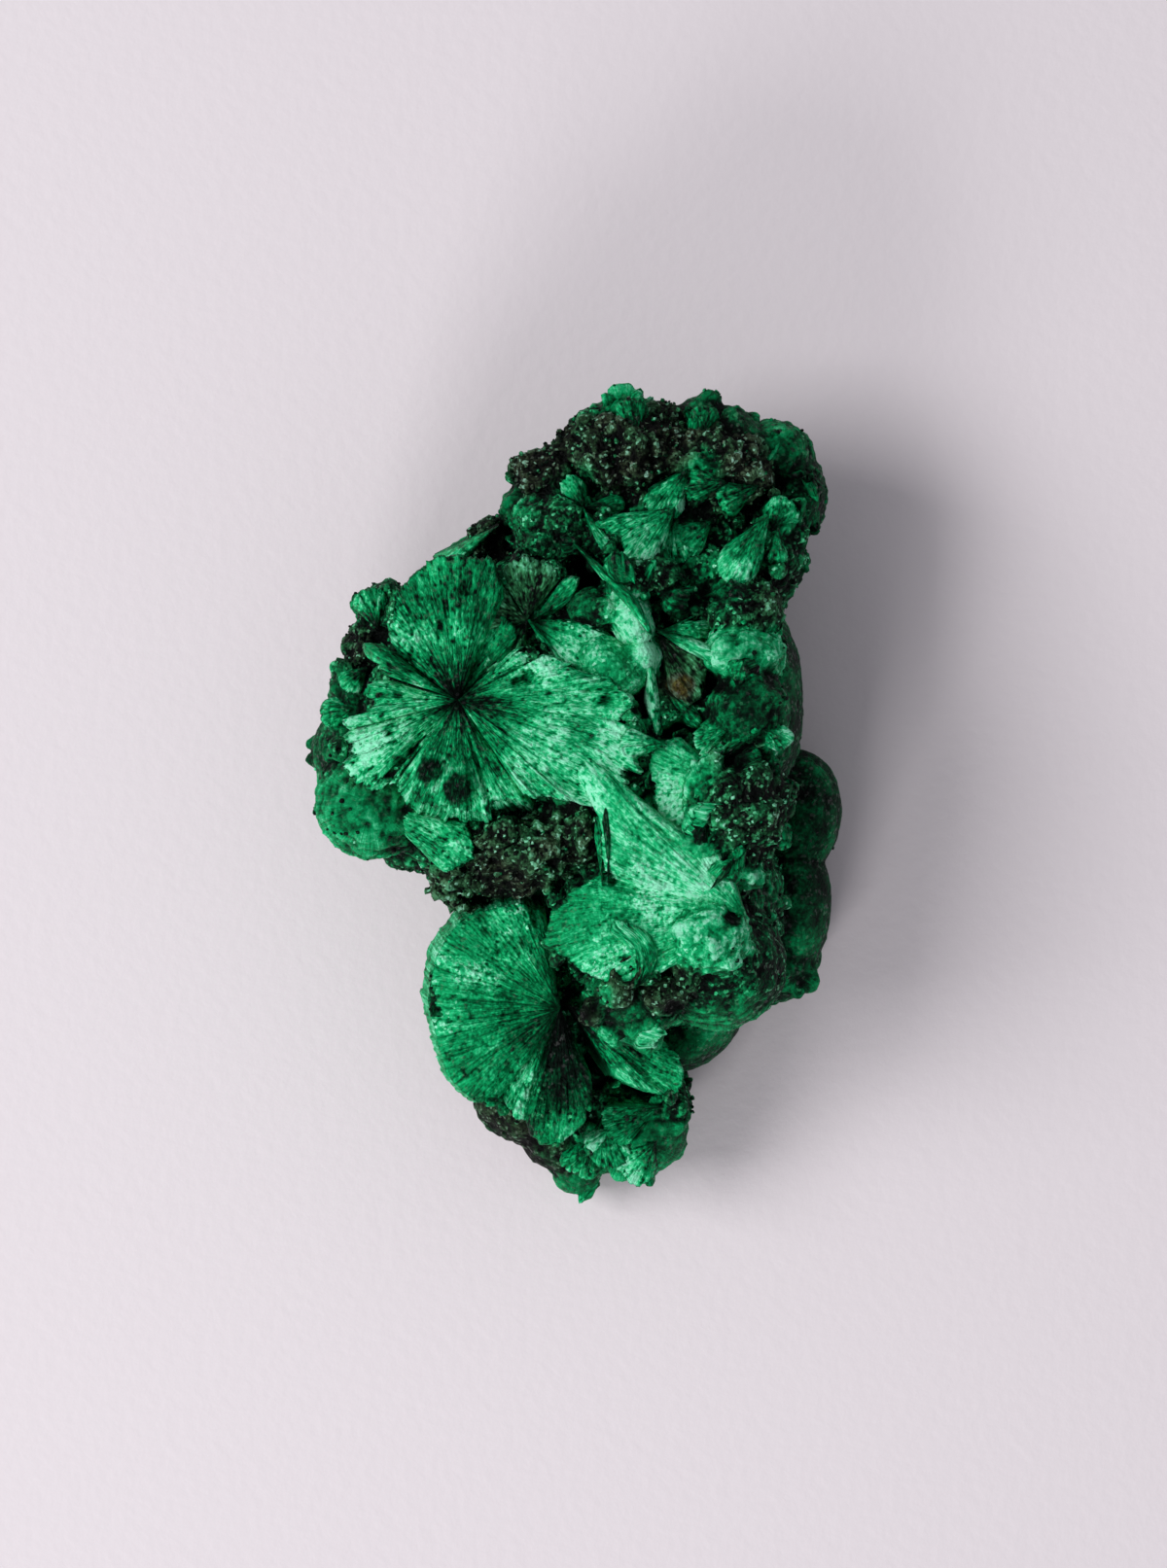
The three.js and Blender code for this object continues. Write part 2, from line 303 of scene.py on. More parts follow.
def closed_grid(columns, count):
    """A grid whose columns all start at one vertex and all end at another: which of its places
    are vertices, in order, and the faces that close it."""
    index = 2 + np.arange(columns * (count - 2)).reshape(columns, count - 2)
    index = np.concatenate([np.zeros((columns, 1), int), index, np.ones((columns, 1), int)], 1)
    order = np.concatenate([[0, count - 1], (np.arange(columns)[:, None] * count
                                             + np.arange(1, count - 1)[None, :]).ravel()])
    a, b, c, d = index[:-1, :-1], index[:-1, 1:], index[1:, 1:], index[1:, :-1]
    faces = [tuple(dict.fromkeys(f)) for f in np.stack([a, b, c, d], -1).reshape(-1, 4).tolist()]
    return order, [*faces, index[0, ::-1].tolist(), index[-1].tolist()]


def sheet(apex, rim, normal=(0, 0, 1), depth=3.5, bowl=0.5, droop=0.5, flare=0.0, seed=0,
          tone=0.55, core=0.4, core_size=1.6, pale=0.2, dust=0.3, dark=0.3, wall=-0.1, rust=0.0,
          relief=1.0, ragged=1.0, bend=0.0, rounding=10, sheen=1.0, length=0.8):
    """A closed sheet of fibres. bowl is how far the rim stands above the apex, droop how far the
    rim rounds over, more abruptly the larger rounding is, flare how far its wall leans out by
    its foot, bend how far the fibres curve round by the rim, in degrees, and length how long
    each streak of colour is. The rest are its colours: tone at the middle, core how much darker
    at the apex, pale how much lighter at the rim, dust and dark how much pale and dark speckle
    lies on it, wall how much lighter its broken rim is, as painted light, or darker where it is
    negative, as painted shade, and sheen how far single fibres stand out."""
    made = dict(apex=np.array(apex, float), rim=rim, axes=axes(normal), depth=depth, bowl=bowl)
    fans.append(made)
    start, end = rim[0][0], rim[-1][0]
    reach = np.mean([r for _, r in rim])
    columns = max(8, int(math.radians(end - start) * reach / COLUMN))
    rows = max(8, int(reach / ROW))
    heading = np.linspace(start, end, columns)
    at_rim = np.radians(heading) * reach
    bundle, in_bundle = cells(at_rim, BUNDLE, seed)
    strand, in_strand = cells(at_rim, STRAND, seed + 1)
    fibre, in_fibre = cells(at_rim, FIBRE, seed + 2)
    uneven = (0.1 * (chance(bundle, seed + 3) - 0.5) + 0.03 * (chance(strand, seed + 4) - 0.5)
              + 0.015 * (chance(fibre, seed + 5) - 0.5)
              + 0.07 * noise(at_rim[:, None] * [1, 0, 0], 2.1, seed + 26))
    needle, in_needle = cells(at_rim, 0.07 * reach, seed + 28)
    needle_length = (core_size * (0.4 + 1.6 * chance(needle, seed + 29)))[:, None]
    in_needle = in_needle[:, None]
    radius = rim_of(made, heading) * (1 + ragged * uneven)

    share = np.linspace(0, 1, rows + 1)[None, :]
    out = share * radius[:, None]
    grow = np.minimum(out / (0.4 * reach), 1)

    def ridge(inside):
        return (np.sqrt(np.maximum(0, 1.02 - inside**2)) - 0.6)[:, None]

    def level_of(outs):
        split = np.log2(reach / np.maximum(outs, 0.3)) + chance(strand, seed + 30)[:, None] - 0.5
        return np.maximum(np.round(split), 0)

    piece_of, _ = cells(out + 9 * chance(fibre, seed + 17)[:, None], 0.9, seed + 18)
    short = chance(piece_of, fibre[:, None], seed + 19) - 0.5
    long_of, _ = cells(out + 9 * chance(strand, seed + 20)[:, None], 3.4, seed + 21)
    long = chance(long_of, strand[:, None], seed + 22) - 0.5
    height = bowl * (out / reach) ** 1.6 - droop * share**rounding
    height = height + relief * grow * (
        (0.02 + 0.2 * chance(bundle, seed + 23)[:, None]) * ridge(in_bundle)
        + 0.03 * ridge(in_strand) + 0.04 * ridge(in_fibre) + 0.08 * long + 0.1 * short
        + 0.2 * (chance(bundle, seed + 6) - 0.5)[:, None])
    breaks = radius * (0.3 + 1.0 * chance(strand, seed + 8))
    fall = relief * (0.05 + 0.4 * chance(strand, seed + 9) ** 3)
    broken = step(out - breaks[:, None], 0, 0.25)
    height = height - fall[:, None] * broken
    beside = np.radians(np.minimum(heading - start, end - heading))[:, None] * out
    edge = np.clip(1 - beside / 0.8, 0, 1)
    height = height - 1.3 * np.minimum(grow, 1) * (1 - np.sqrt(np.maximum(0, 1 - edge**2)))

    def along_fibres(outs, across, pitch, key):
        level = level_of(outs)
        return grid_noise(at_rim[:, None] / across / 2**level + seed, outs / pitch + seed,
                          5.0 * level + seed, key + seed)

    wobble = grid_noise(at_rim[:, None] / 2.4, out / 3, seed, seed + 10)
    height = height + 0.35 * relief * grow * wobble
    height = height + 0.12 * np.exp(-((out / needle_length) ** 2)) * np.minimum(out, 1) * (
        np.sqrt(1.02 - in_needle**2) - 0.6)

    fall_rows = max(5, int(depth / 0.34))
    down = np.concatenate([[0.06, 0.2], np.linspace(0.42, depth, fall_rows)])[None, :]
    down = down * (0.5 + 0.4 * chance(bundle, seed + 32) + 0.2 * chance(strand, seed + 33))[:, None]
    over = 0.22 * np.minimum(down / 0.3, 1) ** 0.5 + flare * down / depth
    chipped = 0.5 * step(chance(strand, seed + 11)[:, None] - down / depth, 0, 0.2)
    chipped = chipped + 0.25 * (chance(bundle, seed + 12)[:, None] - 0.5)
    wall_out = radius[:, None] + over - 0.35 + ragged * 0.5 * chipped * np.minimum(down, 1)
    wall_out = wall_out + 0.08 * ridge(in_strand) + 0.03 * ridge(in_fibre)
    wall_height = height[:, -1:] - down
    foot_out = np.concatenate([0.5 * radius[:, None], 0 * radius[:, None]], 1)
    foot_height = np.full(foot_out.shape, -depth - 0.3)

    outs = np.concatenate([out, wall_out, foot_out], 1)
    heights = np.concatenate([height, wall_height, foot_height], 1)
    count = outs.shape[1]
    reached = np.minimum(outs / reach, 1.2)
    curves = grid_noise(at_rim[:, None] / 1.7, outs / 5, seed, seed + 31)
    curve = (bend + 2.6 * curves) * reached**1.5
    turn = np.radians(heading[:, None] + curve)
    flat = np.stack([outs * np.cos(turn), outs * np.sin(turn), 0.7 * heights + 7.0 * seed], -1)
    flat = flat.reshape(-1, 3)
    speckle = rough(flat, 0.25, seed + 15, 2).reshape(outs.shape)
    patches = noise(flat, 2.4, seed + 16).reshape(outs.shape)
    clumps = rough(flat, 1.3, seed + 27, 2).reshape(outs.shape)
    on_top = np.concatenate([np.repeat(share, columns, 0), 0 * wall_out + 1, 0 * foot_out + 1], 1)
    steep = np.concatenate([0 * out, 0 * wall_out + 1, 0 * foot_out + 1], 1)
    granular = step(patches + on_top, 0.2, 1.2)
    heights = heights + relief * np.minimum(reached * 1.6, 1) * (
        0.14 * clumps + (0.04 + 0.1 * granular) * speckle)
    local = np.stack([outs * np.cos(turn), outs * np.sin(turn), heights], -1)
    local[:, 0] = [0, 0, height[0, 0]]
    world = local @ made["axes"] + made["apex"]

    fine = along_fibres(outs, 0.17, 1.2, 13)
    broad = along_fibres(outs, 0.95, 6, 14)
    colour = tone + 0.07 * sheen * fine + 0.04 * broad + 0.06 * patches + 0.06 * clumps
    colour[:, :rows + 1] += sheen * (0.07 * short + 0.06 * long)
    colour = colour - core * np.exp(-((outs / needle_length) ** 2)) * (1.1 - 0.6 * in_needle**2)
    colour = colour + pale * step(on_top + 0.3 * patches, 0.35, 1.0) * (1 + 0.3 * broad)
    colour = colour + dust * step(0.7 * speckle + 0.6 * patches + 0.2 * fine, -0.5, 0.9) * step(
        on_top, 0.1, 0.6)
    colour = colour - dark * step(-speckle - 0.7 * patches - 0.4 * fine, 0.45, 1.3)
    # Darker where the fine speckle dips the surface, more on granular parts: painted shade in small pits.
    colour = colour - (0.12 + 0.16 * granular) * step(-speckle, 0.35, 0.8)
    # Darker along the edges of bundles and strands, where the surface dips between them: painted shade in
    # the grooves.
    groove = 0.16 * np.abs(in_bundle) ** 8 * (chance(bundle, seed + 24) > 0.4)
    groove = groove + 0.06 * np.abs(in_strand) ** 6 * (chance(strand, seed + 25) > 0.4)
    colour = colour - groove[:, None] * (1 - 0.5 * steep)
    # The wall is painted lighter than the face as painted light where it should catch the window, or
    # darker as painted shade where wall is negative.
    colour = colour + steep * (wall + 0.12 * fine)
    colour = add_marks(world, colour, clumps, speckle, 1 - steep)
    silk = sheen * (1 - 0.75 * granular * (1 - steep) * step(clumps, -0.6, 0.4))
    stained = np.maximum(rust, 1.05 * np.exp(-((apart(world, *STAIN) + 0.3 * clumps) ** 4)))

    order, faces = closed_grid(columns, count)
    radial = np.stack([np.cos(turn) + 0 * outs, np.sin(turn) + 0 * outs, -2.0 * steep], -1)
    radial = radial @ made["axes"]

    def pick(values):
        return values.reshape(columns * count, -1)[order].squeeze()

    level = level_of(outs)
    fibre_place = np.stack([at_rim[:, None] / FIBRE / 2**level, outs / length + heights * 0.3,
                            5.1 * level + 13.7 * seed], -1)
    return dict(points=pick(world), faces=faces, tone=pick(colour), silk=pick(silk),
                rust=pick(stained), fibre=pick(fibre_place), along=pick(radial))


def spray(name, *where, **looks):
    return new_piece(name, **sheet(*where, **looks))


def together(sheets):
    """Several sheets as one."""
    starts = np.cumsum([0, *(len(made["points"]) for made in sheets)])
    faces = [[v + start for v in face] for made, start in zip(sheets, starts)
             for face in made["faces"]]
    return {"faces": faces, **{key: np.concatenate([made[key] for made in sheets])
                               for key in sheets[0] if key != "faces"}}


def ground(x, y):
    """The height of the body's lobes at a place seen from above."""
    top = 0.0
    for at, radii, turn, _ in LOBES:
        c, s = math.cos(math.radians(turn)), math.sin(math.radians(turn))
        dx, dy = x - at[0], y - at[1]
        left = 1 - ((c * dx + s * dy) / radii[0]) ** 2 - ((c * dy - s * dx) / radii[1]) ** 2
        if left > 0:
            top = max(top, at[2] + radii[2] * math.sqrt(left))
    return top


def eased_rim(start, end, radius):
    return [((start + end) / 2 + s * (end - start) / 2, radius * (1 - 0.22 * abs(s) ** 3))
            for s in np.linspace(-1, 1, 7)]


def tuft(name, x, y, start, end, radius, lift, **looks):
    """A small spray laid on the body: its apex's place seen from above, its headings, its
    radius, and how far it stands off the body."""
    middle = math.radians((start + end) / 2)
    east, north = math.cos(middle), math.sin(middle)
    z = ground(x, y) + lift
    rise = np.clip(ground(x + 0.8 * radius * east, y + 0.8 * radius * north) + lift - z,
                   -0.5 * radius, 0.5 * radius)
    slope = rise / radius
    looks = {"depth": 2.2, "bowl": 0.2, "droop": 0.3, "core": 0.3, "core_size": 0.8, "pale": 0.2,
             **looks}
    spray(name, (x, y, z), eased_rim(start, end, radius), (-slope * east, -slope * north, 1),
          **looks)


def make_rows_of_tufts(rows):
    """Tufts from rows of a name, place, headings, radius, lift, tone, pale, dust and seed."""
    for name, *where, tone, pale, dust, seed in rows:
        tuft(name, *where, tone=tone, pale=pale, dust=dust, seed=seed)


def make_sprays():
    main = dict(core=0.55, core_size=2.0)
    # The main rosette's petals are one material. Their tones differ partly as painted light: the west and
    # southwest ones, which face the window, are painted lighter.
    spray("main_rosette_north", (-9, 7, 24.5), [(66, 9.2), (74, 10.6), (84, 11), (96, 10.7),
          (110, 10.2), (122, 9), (134, 7.4), (144, 6)], (0, -0.03, 1), depth=5, bowl=0.7, seed=11,
          tone=0.48, pale=0.1, dark=0.25, **main)
    spray("main_rosette_northwest", (-9, 7, 23.9), [(145, 6), (150, 7.8), (156, 7.4), (162, 6.4)],
          (0.12, -0.1, 1), depth=5, seed=10, tone=0.56, pale=0.1, dust=0.2, relief=1.2,
          ragged=1.8, **main)
    spray("main_rosette_west", (-9, 7, 24.5), [(164, 6.8), (170, 8.4), (177, 8.2), (181, 7.4),
          (187, 8.9), (193, 8.6)], (-0.22, 0.06, 1), depth=5, bowl=0.8, seed=12, tone=0.74,
          pale=0.12, dust=0.2, relief=1.4, ragged=1.8, **main)
    spray("main_rosette_southwest", (-9, 7, 24), [(196, 8.6), (200, 10.4), (208, 10.9),
          (216, 9.6), (226, 8.4), (234, 7.2)], (-0.14, -0.2, 1), depth=5, seed=13,
          tone=0.62, pale=0.1, dust=0.26, dark=0.5, relief=1.8, ragged=1.6, **main)
    spray("main_rosette_south", (-9, 7, 24.4), [(234, 7.4), (244, 8.4), (258, 8.3), (270, 8.2),
          (282, 8.8), (296, 9.4), (308, 9.2)], (0.04, -0.12, 1), depth=5,
          flare=1.9, seed=14, tone=0.5, pale=0.16, dust=0.22, dark=0.2, wall=0.1, **main)
    spray("main_rosette_east", (-9, 7, 24.7), [(304, 9), (312, 10), (318, 11.8), (324, 13.9),
          (330, 15.2), (336, 15), (342, 14.6), (350, 13.2), (357, 13.9), (363, 12.6), (370, 10.6),
          (380, 8.4), (392, 6.8), (403, 5.4)], (-0.09, 0, 1), depth=4, bowl=0.7, droop=0.4,
          seed=15, tone=0.68, pale=0.08, dust=0.2, dark=0.24, wall=0.05, **main)
    spray("middle_fan_upper", (12.8, -9.4, 27.2), [(106, 4.6), (113, 5.8), (120, 7),
          (126, 8.2), (129, 10.5), (131, 13.4), (134, 15.6), (140, 16.4), (142.5, 16), (144.5, 13.4),
          (149, 12.2), (155, 11.6), (161, 11), (167, 10.6)], (-0.05, -0.03, 1), depth=4.5, bowl=0.1,
          droop=0.9, seed=21, tone=0.74, core=0.1, pale=0.04, dust=0.14, dark=0.05, ragged=0.8,
          relief=0.7, sheen=0.55, length=1.4)
    spray("middle_fan_lower", (12.6, -9.4, 26.8), [(158, 8.6), (167, 11), (172, 12.8),
          (177, 14.7), (184, 15.2), (191, 15.2), (197, 14), (203, 12.8), (208, 11.4), (212, 8.6),
          (219, 6), (230, 4)], (-0.06, 0.0, 1), depth=5, bowl=0.1, droop=0.9, seed=22, tone=0.68, core=0.1,
          pale=0.02, dust=0.14, dark=0.08, ragged=0.8, relief=0.8, sheen=0.6, length=1.4)
    south = dict(core=0.3)
    spray("south_rosette_disc", (-1.2, -17, 17.2), [(98, 7.6), (106, 8.6), (121, 9.3), (139, 10.3),
          (154, 10.5), (172, 10.3), (185, 10.1), (203, 10), (218, 9.9), (230, 9.6), (238, 8.4)],
          (0, -0.02, 1), depth=7, bowl=1.1, droop=1.4, flare=1.0, seed=31, tone=0.6, pale=0.05,
          dust=0.1, dark=0.1, ragged=0.35, rounding=5, wall=0.12, sheen=0.65, length=1.2, **south)
    spray("south_rosette_petal", (-1.2, -17, 16.8), [(234, 8.2), (240, 8.9), (248, 9), (254, 8.4)],
          (0.06, -0.04, 1), depth=5, bowl=0.3, seed=32, tone=0.5, pale=0.14, **south)
    # This petal faces away from the window, and its low tone is painted shade.
    spray("south_rosette_shaded_petal", (-1.2, -17, 17), [(251, 8.8), (256, 10.2), (264, 10.7),
          (272, 10.6), (280, 9.4), (290, 7.2), (296, 5.4)], (0.06, 0.06, 1), depth=5, bowl=0.3,
          droop=0.8, seed=33, tone=0.19, pale=0.34, dust=0.0, ragged=0.5, sheen=0.6, **south)
    spray("south_rosette_east_petal", (-0.4, -16.8, 17.2), [(304, 7.2), (310, 9.6), (316, 11),
          (322, 11.2), (328, 10.3), (336, 8.4), (346, 6)], (0.2, 0.02, 1), depth=6, bowl=0.2,
          seed=34, tone=0.44, pale=0.12, dust=0.12, ragged=0.5, **south)


def make_tufts():
    """The small sprays on top, from the north end to the south end."""
    spray("north_shell", (7.6, 21.8, 24.6), [(186, 5.4), (192, 6.1), (204, 5.6), (220, 5.3),
          (238, 5.4), (248, 4.9), (254, 4)], (-0.05, 0.05, 1), depth=2.4, bowl=0.2, droop=0.7,
          tone=0.7, core=0.3, pale=0.14, dust=0.2, dark=0.2, ragged=1.2, seed=41)
    spray("spoon", (14.9, 21.3, 23.4), [(214, 4), (221, 5.3), (227, 5.9), (238, 6.3), (248, 6),
          (256, 5.2), (263, 3.6)], (0.05, 0.1, 1), depth=2.6, bowl=0.2, droop=0.9, tone=0.62,
          core=0.3, pale=0.12, dust=0.1, dark=0.2, ragged=0.5, seed=49)
    make_rows_of_tufts([
        ("north_star_up", 0.6, 21.9, 96, 150, 3, 0.4, 0.4, 0.1, 0.3, 42),
        ("north_star_east", 0.6, 21.9, -12, 26, 3.4, 0.7, 0.36, 0.2, 0.3, 43),
        ("north_star_strip", 0.5, 22, -74, -46, 4.7, 0.9, 0.6, 0.2, 0.3, 44),
        ("north_fan_a", 8.6, 24.8, 205, 262, 4.4, 0.6, 0.5, 0.18, 0.3, 45),
        ("north_fan_b", 10.8, 21.2, 188, 250, 4.2, 0.7, 0.42, 0.2, 0.3, 46),
        ("north_fan_c", 7.4, 21.4, 250, 300, 4.2, 0.8, 0.42, 0.16, 0.3, 47),
        ("north_fan_d", 11.6, 23.8, 150, 215, 3.4, 0.6, 0.38, 0.2, 0.3, 48),
        ("spoon_back", 15.2, 20.2, 20, 92, 3.4, 0.5, 0.42, 0.1, 0.3, 50),
        ("spoon_side", 15.6, 20.6, 248, 292, 3.2, 0.7, 0.5, 0.1, 0.3, 51),
        ("north_fan_e", 14.2, 23.6, 165, 235, 3.6, 0.6, 0.42, 0.2, 0.3, 52),
        ("north_rim_fan_a", 4.6, 28, 70, 140, 2.8, 0.3, 0.42, 0.1, 0.3, 54),
        ("north_rim_fan_b", 9.8, 27.6, 50, 122, 2.6, 0.3, 0.36, 0.1, 0.3, 55),
    ])

    spray("northwest_sliver", (-6, 20.8, 17.4), [(211, 5.4), (217, 6.2), (223, 6), (229, 4.8)],
          (0.1, -0.2, 1), depth=2.4, bowl=0.2, tone=0.58, core=0.3, pale=0.1, seed=53)
    spray("main_rosette_gap", (-9, 7, 23.4), [(38, 5.6), (46, 6.4), (54, 7.2), (62, 7.4),
          (70, 6)], depth=3, bowl=0.3, tone=0.44, pale=0.1, dust=0.2, seed=60)
    dark = dict(depth=3, core=0.25, core_size=1.0, ragged=1.2)
    spray("dark_rosette_north", (-3.7, 13.2, 23.2), [(52, 4.2), (62, 4.7), (80, 4.6), (96, 4.9),
          (112, 4.6), (126, 3.8)], (0, -0.04, 1), tone=0.5, pale=0.12, dark=0.5, rust=0.36,
          seed=61, **dark)
    spray("dark_rosette_west", (-3.7, 13.2, 22.9), [(124, 3), (140, 3.2), (160, 2.8), (186, 3),
          (204, 3.4)], (0.1, 0, 1), tone=0.5, rust=0.4, seed=62, **dark)
    spray("dark_rosette_south", (-3.7, 13.2, 23), [(200, 3.6), (214, 4.6), (230, 4.8), (246, 4.2),
          (266, 3.2)], (0, 0.05, 1), tone=0.46, pale=0.22, dust=0.25, rust=0.25, seed=63, **dark)
    spray("dark_rosette_strands", (-3.4, 13, 23.4), [(22, 2.2), (32, 4), (44, 4.8), (56, 4.2)],
          tone=0.5, pale=0.25, seed=64, **dark)
    spray("bean", (-3.7, 13.2, 23.2), [(-57, 2.6), (-52, 5.4), (-47, 7.6), (-40, 8.9), (-33, 9.2),
          (-26, 8.8), (-17, 7.6), (-8, 6.1), (2, 4)], (0.05, 0.02, 1), depth=4.5, bowl=1.7,
          droop=2.4, tone=0.6, core=0.25, pale=0.05, dust=0.36, dark=0.42, relief=0.5, ragged=0.2,
          wall=-0.25, sheen=0.45, length=0.4, seed=65)
    spray("bean_ridge", (-3.6, 13.3, 24.2), [(-58, 4.4), (-55, 6.6), (-51, 8.3), (-48, 7.6)],
          (-0.02, 0, 1), depth=2, bowl=0.3, tone=0.62, core=0.2, relief=0.5, seed=58)
    spray("long_ridge", (-0.4, 19.2, 26), [(-52, 4), (-49, 8), (-46, 9.6), (-43, 7), (-40, 3)],
          (-0.08, 0.04, 1), depth=3, tone=0.44, core=0.1, pale=0.1,
          seed=59)
    spray("bright_fan", (6.2, 12.2, 24.6), [(-22, 2.8), (-12, 4), (0, 4.4), (12, 4.2), (24,
          2.6)], depth=2, bowl=0.4, tone=0.62, core=0.25, pale=0.12, seed=68, ragged=3)
    spray("bright_blades", (6.2, 12.4, 25), [(-38, 2), (-30, 4.4), (-22, 5), (-14, 3.6)], (0, 0, 1),
          depth=2, tone=0.62, core=0.25, pale=0.12, seed=57, ragged=3)
    spray("middle_strip", (5.6, 12.4, 24.8), [(-95, 5), (-90, 6.6), (-85, 7.9),
          (-81, 7)], depth=3, bowl=0.1, tone=0.5, core=0.3, pale=0.12,
          dust=0.4, seed=69)
    spray("rusty_wedge", (6.4, 12, 24), [(-80, 4.6), (-70, 6), (-58, 6.2), (-46, 5.2), (-34, 4.4),
          (-24, 3.6)], (0.02, 0.05, 1), depth=3, bowl=0.1, tone=0.3, core=0.2, pale=0.1, rust=0.4,
          dark=0.4, seed=70)
    spray("tongue", (6.6, 8, 24.2), [(-58, 3), (-48, 4.2), (-38, 4.4), (-28, 3)], (0, 0, 1),
          depth=1.6, bowl=0.2, tone=0.52, pale=0.3, dust=0.35, seed=71)
    spray("plate", (12.4, 0.4, 25.6), [(140, 5.6), (150, 6.4), (162, 6.8), (175, 6.9), (190, 6.8),
          (204, 7), (216, 7.4), (228, 7.2), (240, 6)], (-0.02, -0.02, 1), bowl=0.1,
          droop=0.4, tone=0.8, core=0.1, pale=0.04, dust=0.1, dark=0.1, relief=0.7, sheen=0.7, seed=72)
    spray("plate_tip", (7, 3.6, 26.8), eased_rim(156, 206, 3.9), (0.05, 0, 1), depth=2, bowl=0.2,
          droop=0.4, tone=0.7, core=0.2, pale=0.16, seed=73)
    tuft("plate_edge", 11.4, 4.6, 178, 232, 3.2, 0.7, tone=0.62, pale=0.3, seed=74)

    make_rows_of_tufts([
        ("east_mint_chip", 14.6, 4.6, -70, 10, 2.2, 0.6, 0.72, 0.2, 0.3, 83),
        ("east_knob_chip", 14.6, -5.6, 170, 235, 2.4, 0.8, 0.8, 0.1, 0.4, 84),
    ])
    spray("swirl", (4.4, -15, 26.9), [(24, 2.8), (34, 4), (46, 4.8), (58, 5), (68, 4.2),
          (76, 3)], (0, 0.03, 1), depth=1.8, tone=0.64, core=0.3, pale=0.12, bend=35,
          dust=0.2, seed=85)
    make_rows_of_tufts([
        ("west_strip_a", -16.2, 9.8, 190, 262, 2.6, 0.5, 0.52, 0.2, 0.3, 92),
        ("west_strip_b", -17.6, 6.4, 150, 230, 2.6, 0.5, 0.5, 0.2, 0.3, 93),
        ("west_knob_fan", -15.4, 12.6, 70, 140, 3.4, 0.5, 0.3, 0.2, 0.3, 94),
    ])
    spray("sliver", (2, -7.2, 26.6), [(84, 3.4), (88, 5), (93, 5.2), (98, 3.6)], depth=4,
          bowl=0.2, tone=0.56, core=0.1, pale=0.05, seed=98)
    spray("rod", (2.5, -7.2, 27.2), [(85, 4.6), (90, 5.8), (95, 4.6)], depth=4, bowl=0.2, tone=0.16,
          core=0, pale=0.1, seed=99)
    spray("bright_plate", (-16.6, -0.4, 19.6), [(-44, 8.8), (-37, 9.6), (-30, 9.8), (-22, 9.4),
          (-14, 8)], (-0.1, 0, 1), depth=2.6, bowl=0.1, tone=0.62, core=0.1, pale=0.05, dust=0.15,
          seed=95)

    make_rows_of_tufts([
        ("south_chunk_a", 6.8, -25, 170, 232, 5, 0.5, 0.46, 0.2, 0.1, 101),
        ("south_chunk_b", 2.2, -25.6, 240, 312, 4.4, 0.5, 0.42, 0.12, 0.3, 102),
        ("south_chunk_c", 6.2, -28, 190, 262, 4.2, 0.5, 0.46, 0.2, 0.3, 103),
        ("south_tail", 1.2, -28.4, 200, 280, 3.4, 0.4, 0.44, 0.15, 0.3, 104),
        ("south_mint", 2.4, -27, 190, 250, 2.6, 1.0, 0.84, 0.1, 0.4, 105),
    ])


def scatter_tufts(name, wanted, box, seed):
    """Small sprays that stand at all angles on the body's darker lobes, within a box."""
    random = np.random.default_rng(seed)
    made = []
    low, high = box
    while len(made) < wanted:
        at, radii, turn, kind = LOBES[random.integers(len(LOBES))]
        if kind in BARE:
            continue
        way = random.normal(size=3)
        way /= np.linalg.norm(way)
        spot = placed(way[None], at, radii, turn)[0]
        if (spot < low).any() or (spot > high).any() or np.sort(in_lobes(spot[None])[:, 0])[0] < 0.98:
            continue
        normal = placed((way / radii)[None], (0, 0, 0), (1, 1, 1), turn)[0]
        normal /= np.linalg.norm(normal)
        if under_sprays((spot + [0, 0, 1])[None])[0] > -np.inf:
            continue
        tilt = normal + 0.3 * random.normal(size=3)
        middle, half = random.uniform(0, 360), random.uniform(20, 55)
        size = random.uniform(0.9, 2.2 if spot[2] > 18 else 1.8)
        tone = KINDS[kind][0] + random.uniform(-0.1, 0.16)
        made.append(sheet(spot + 0.05 * normal, eased_rim(middle - half, middle + half, size), tilt,
                          depth=1.5, bowl=0.15, droop=0.3, seed=1000 * seed + len(made), tone=tone,
                          core=0.2, core_size=0.8, pale=random.uniform(0, 0.36), dust=0.2,
                          dark=0.35, relief=0.8, ragged=1.8))
        fans.pop()  # the body doesn't make way for these
    new_piece(name, **together(made))


# Body ----------------------------------------------------------------------------------------

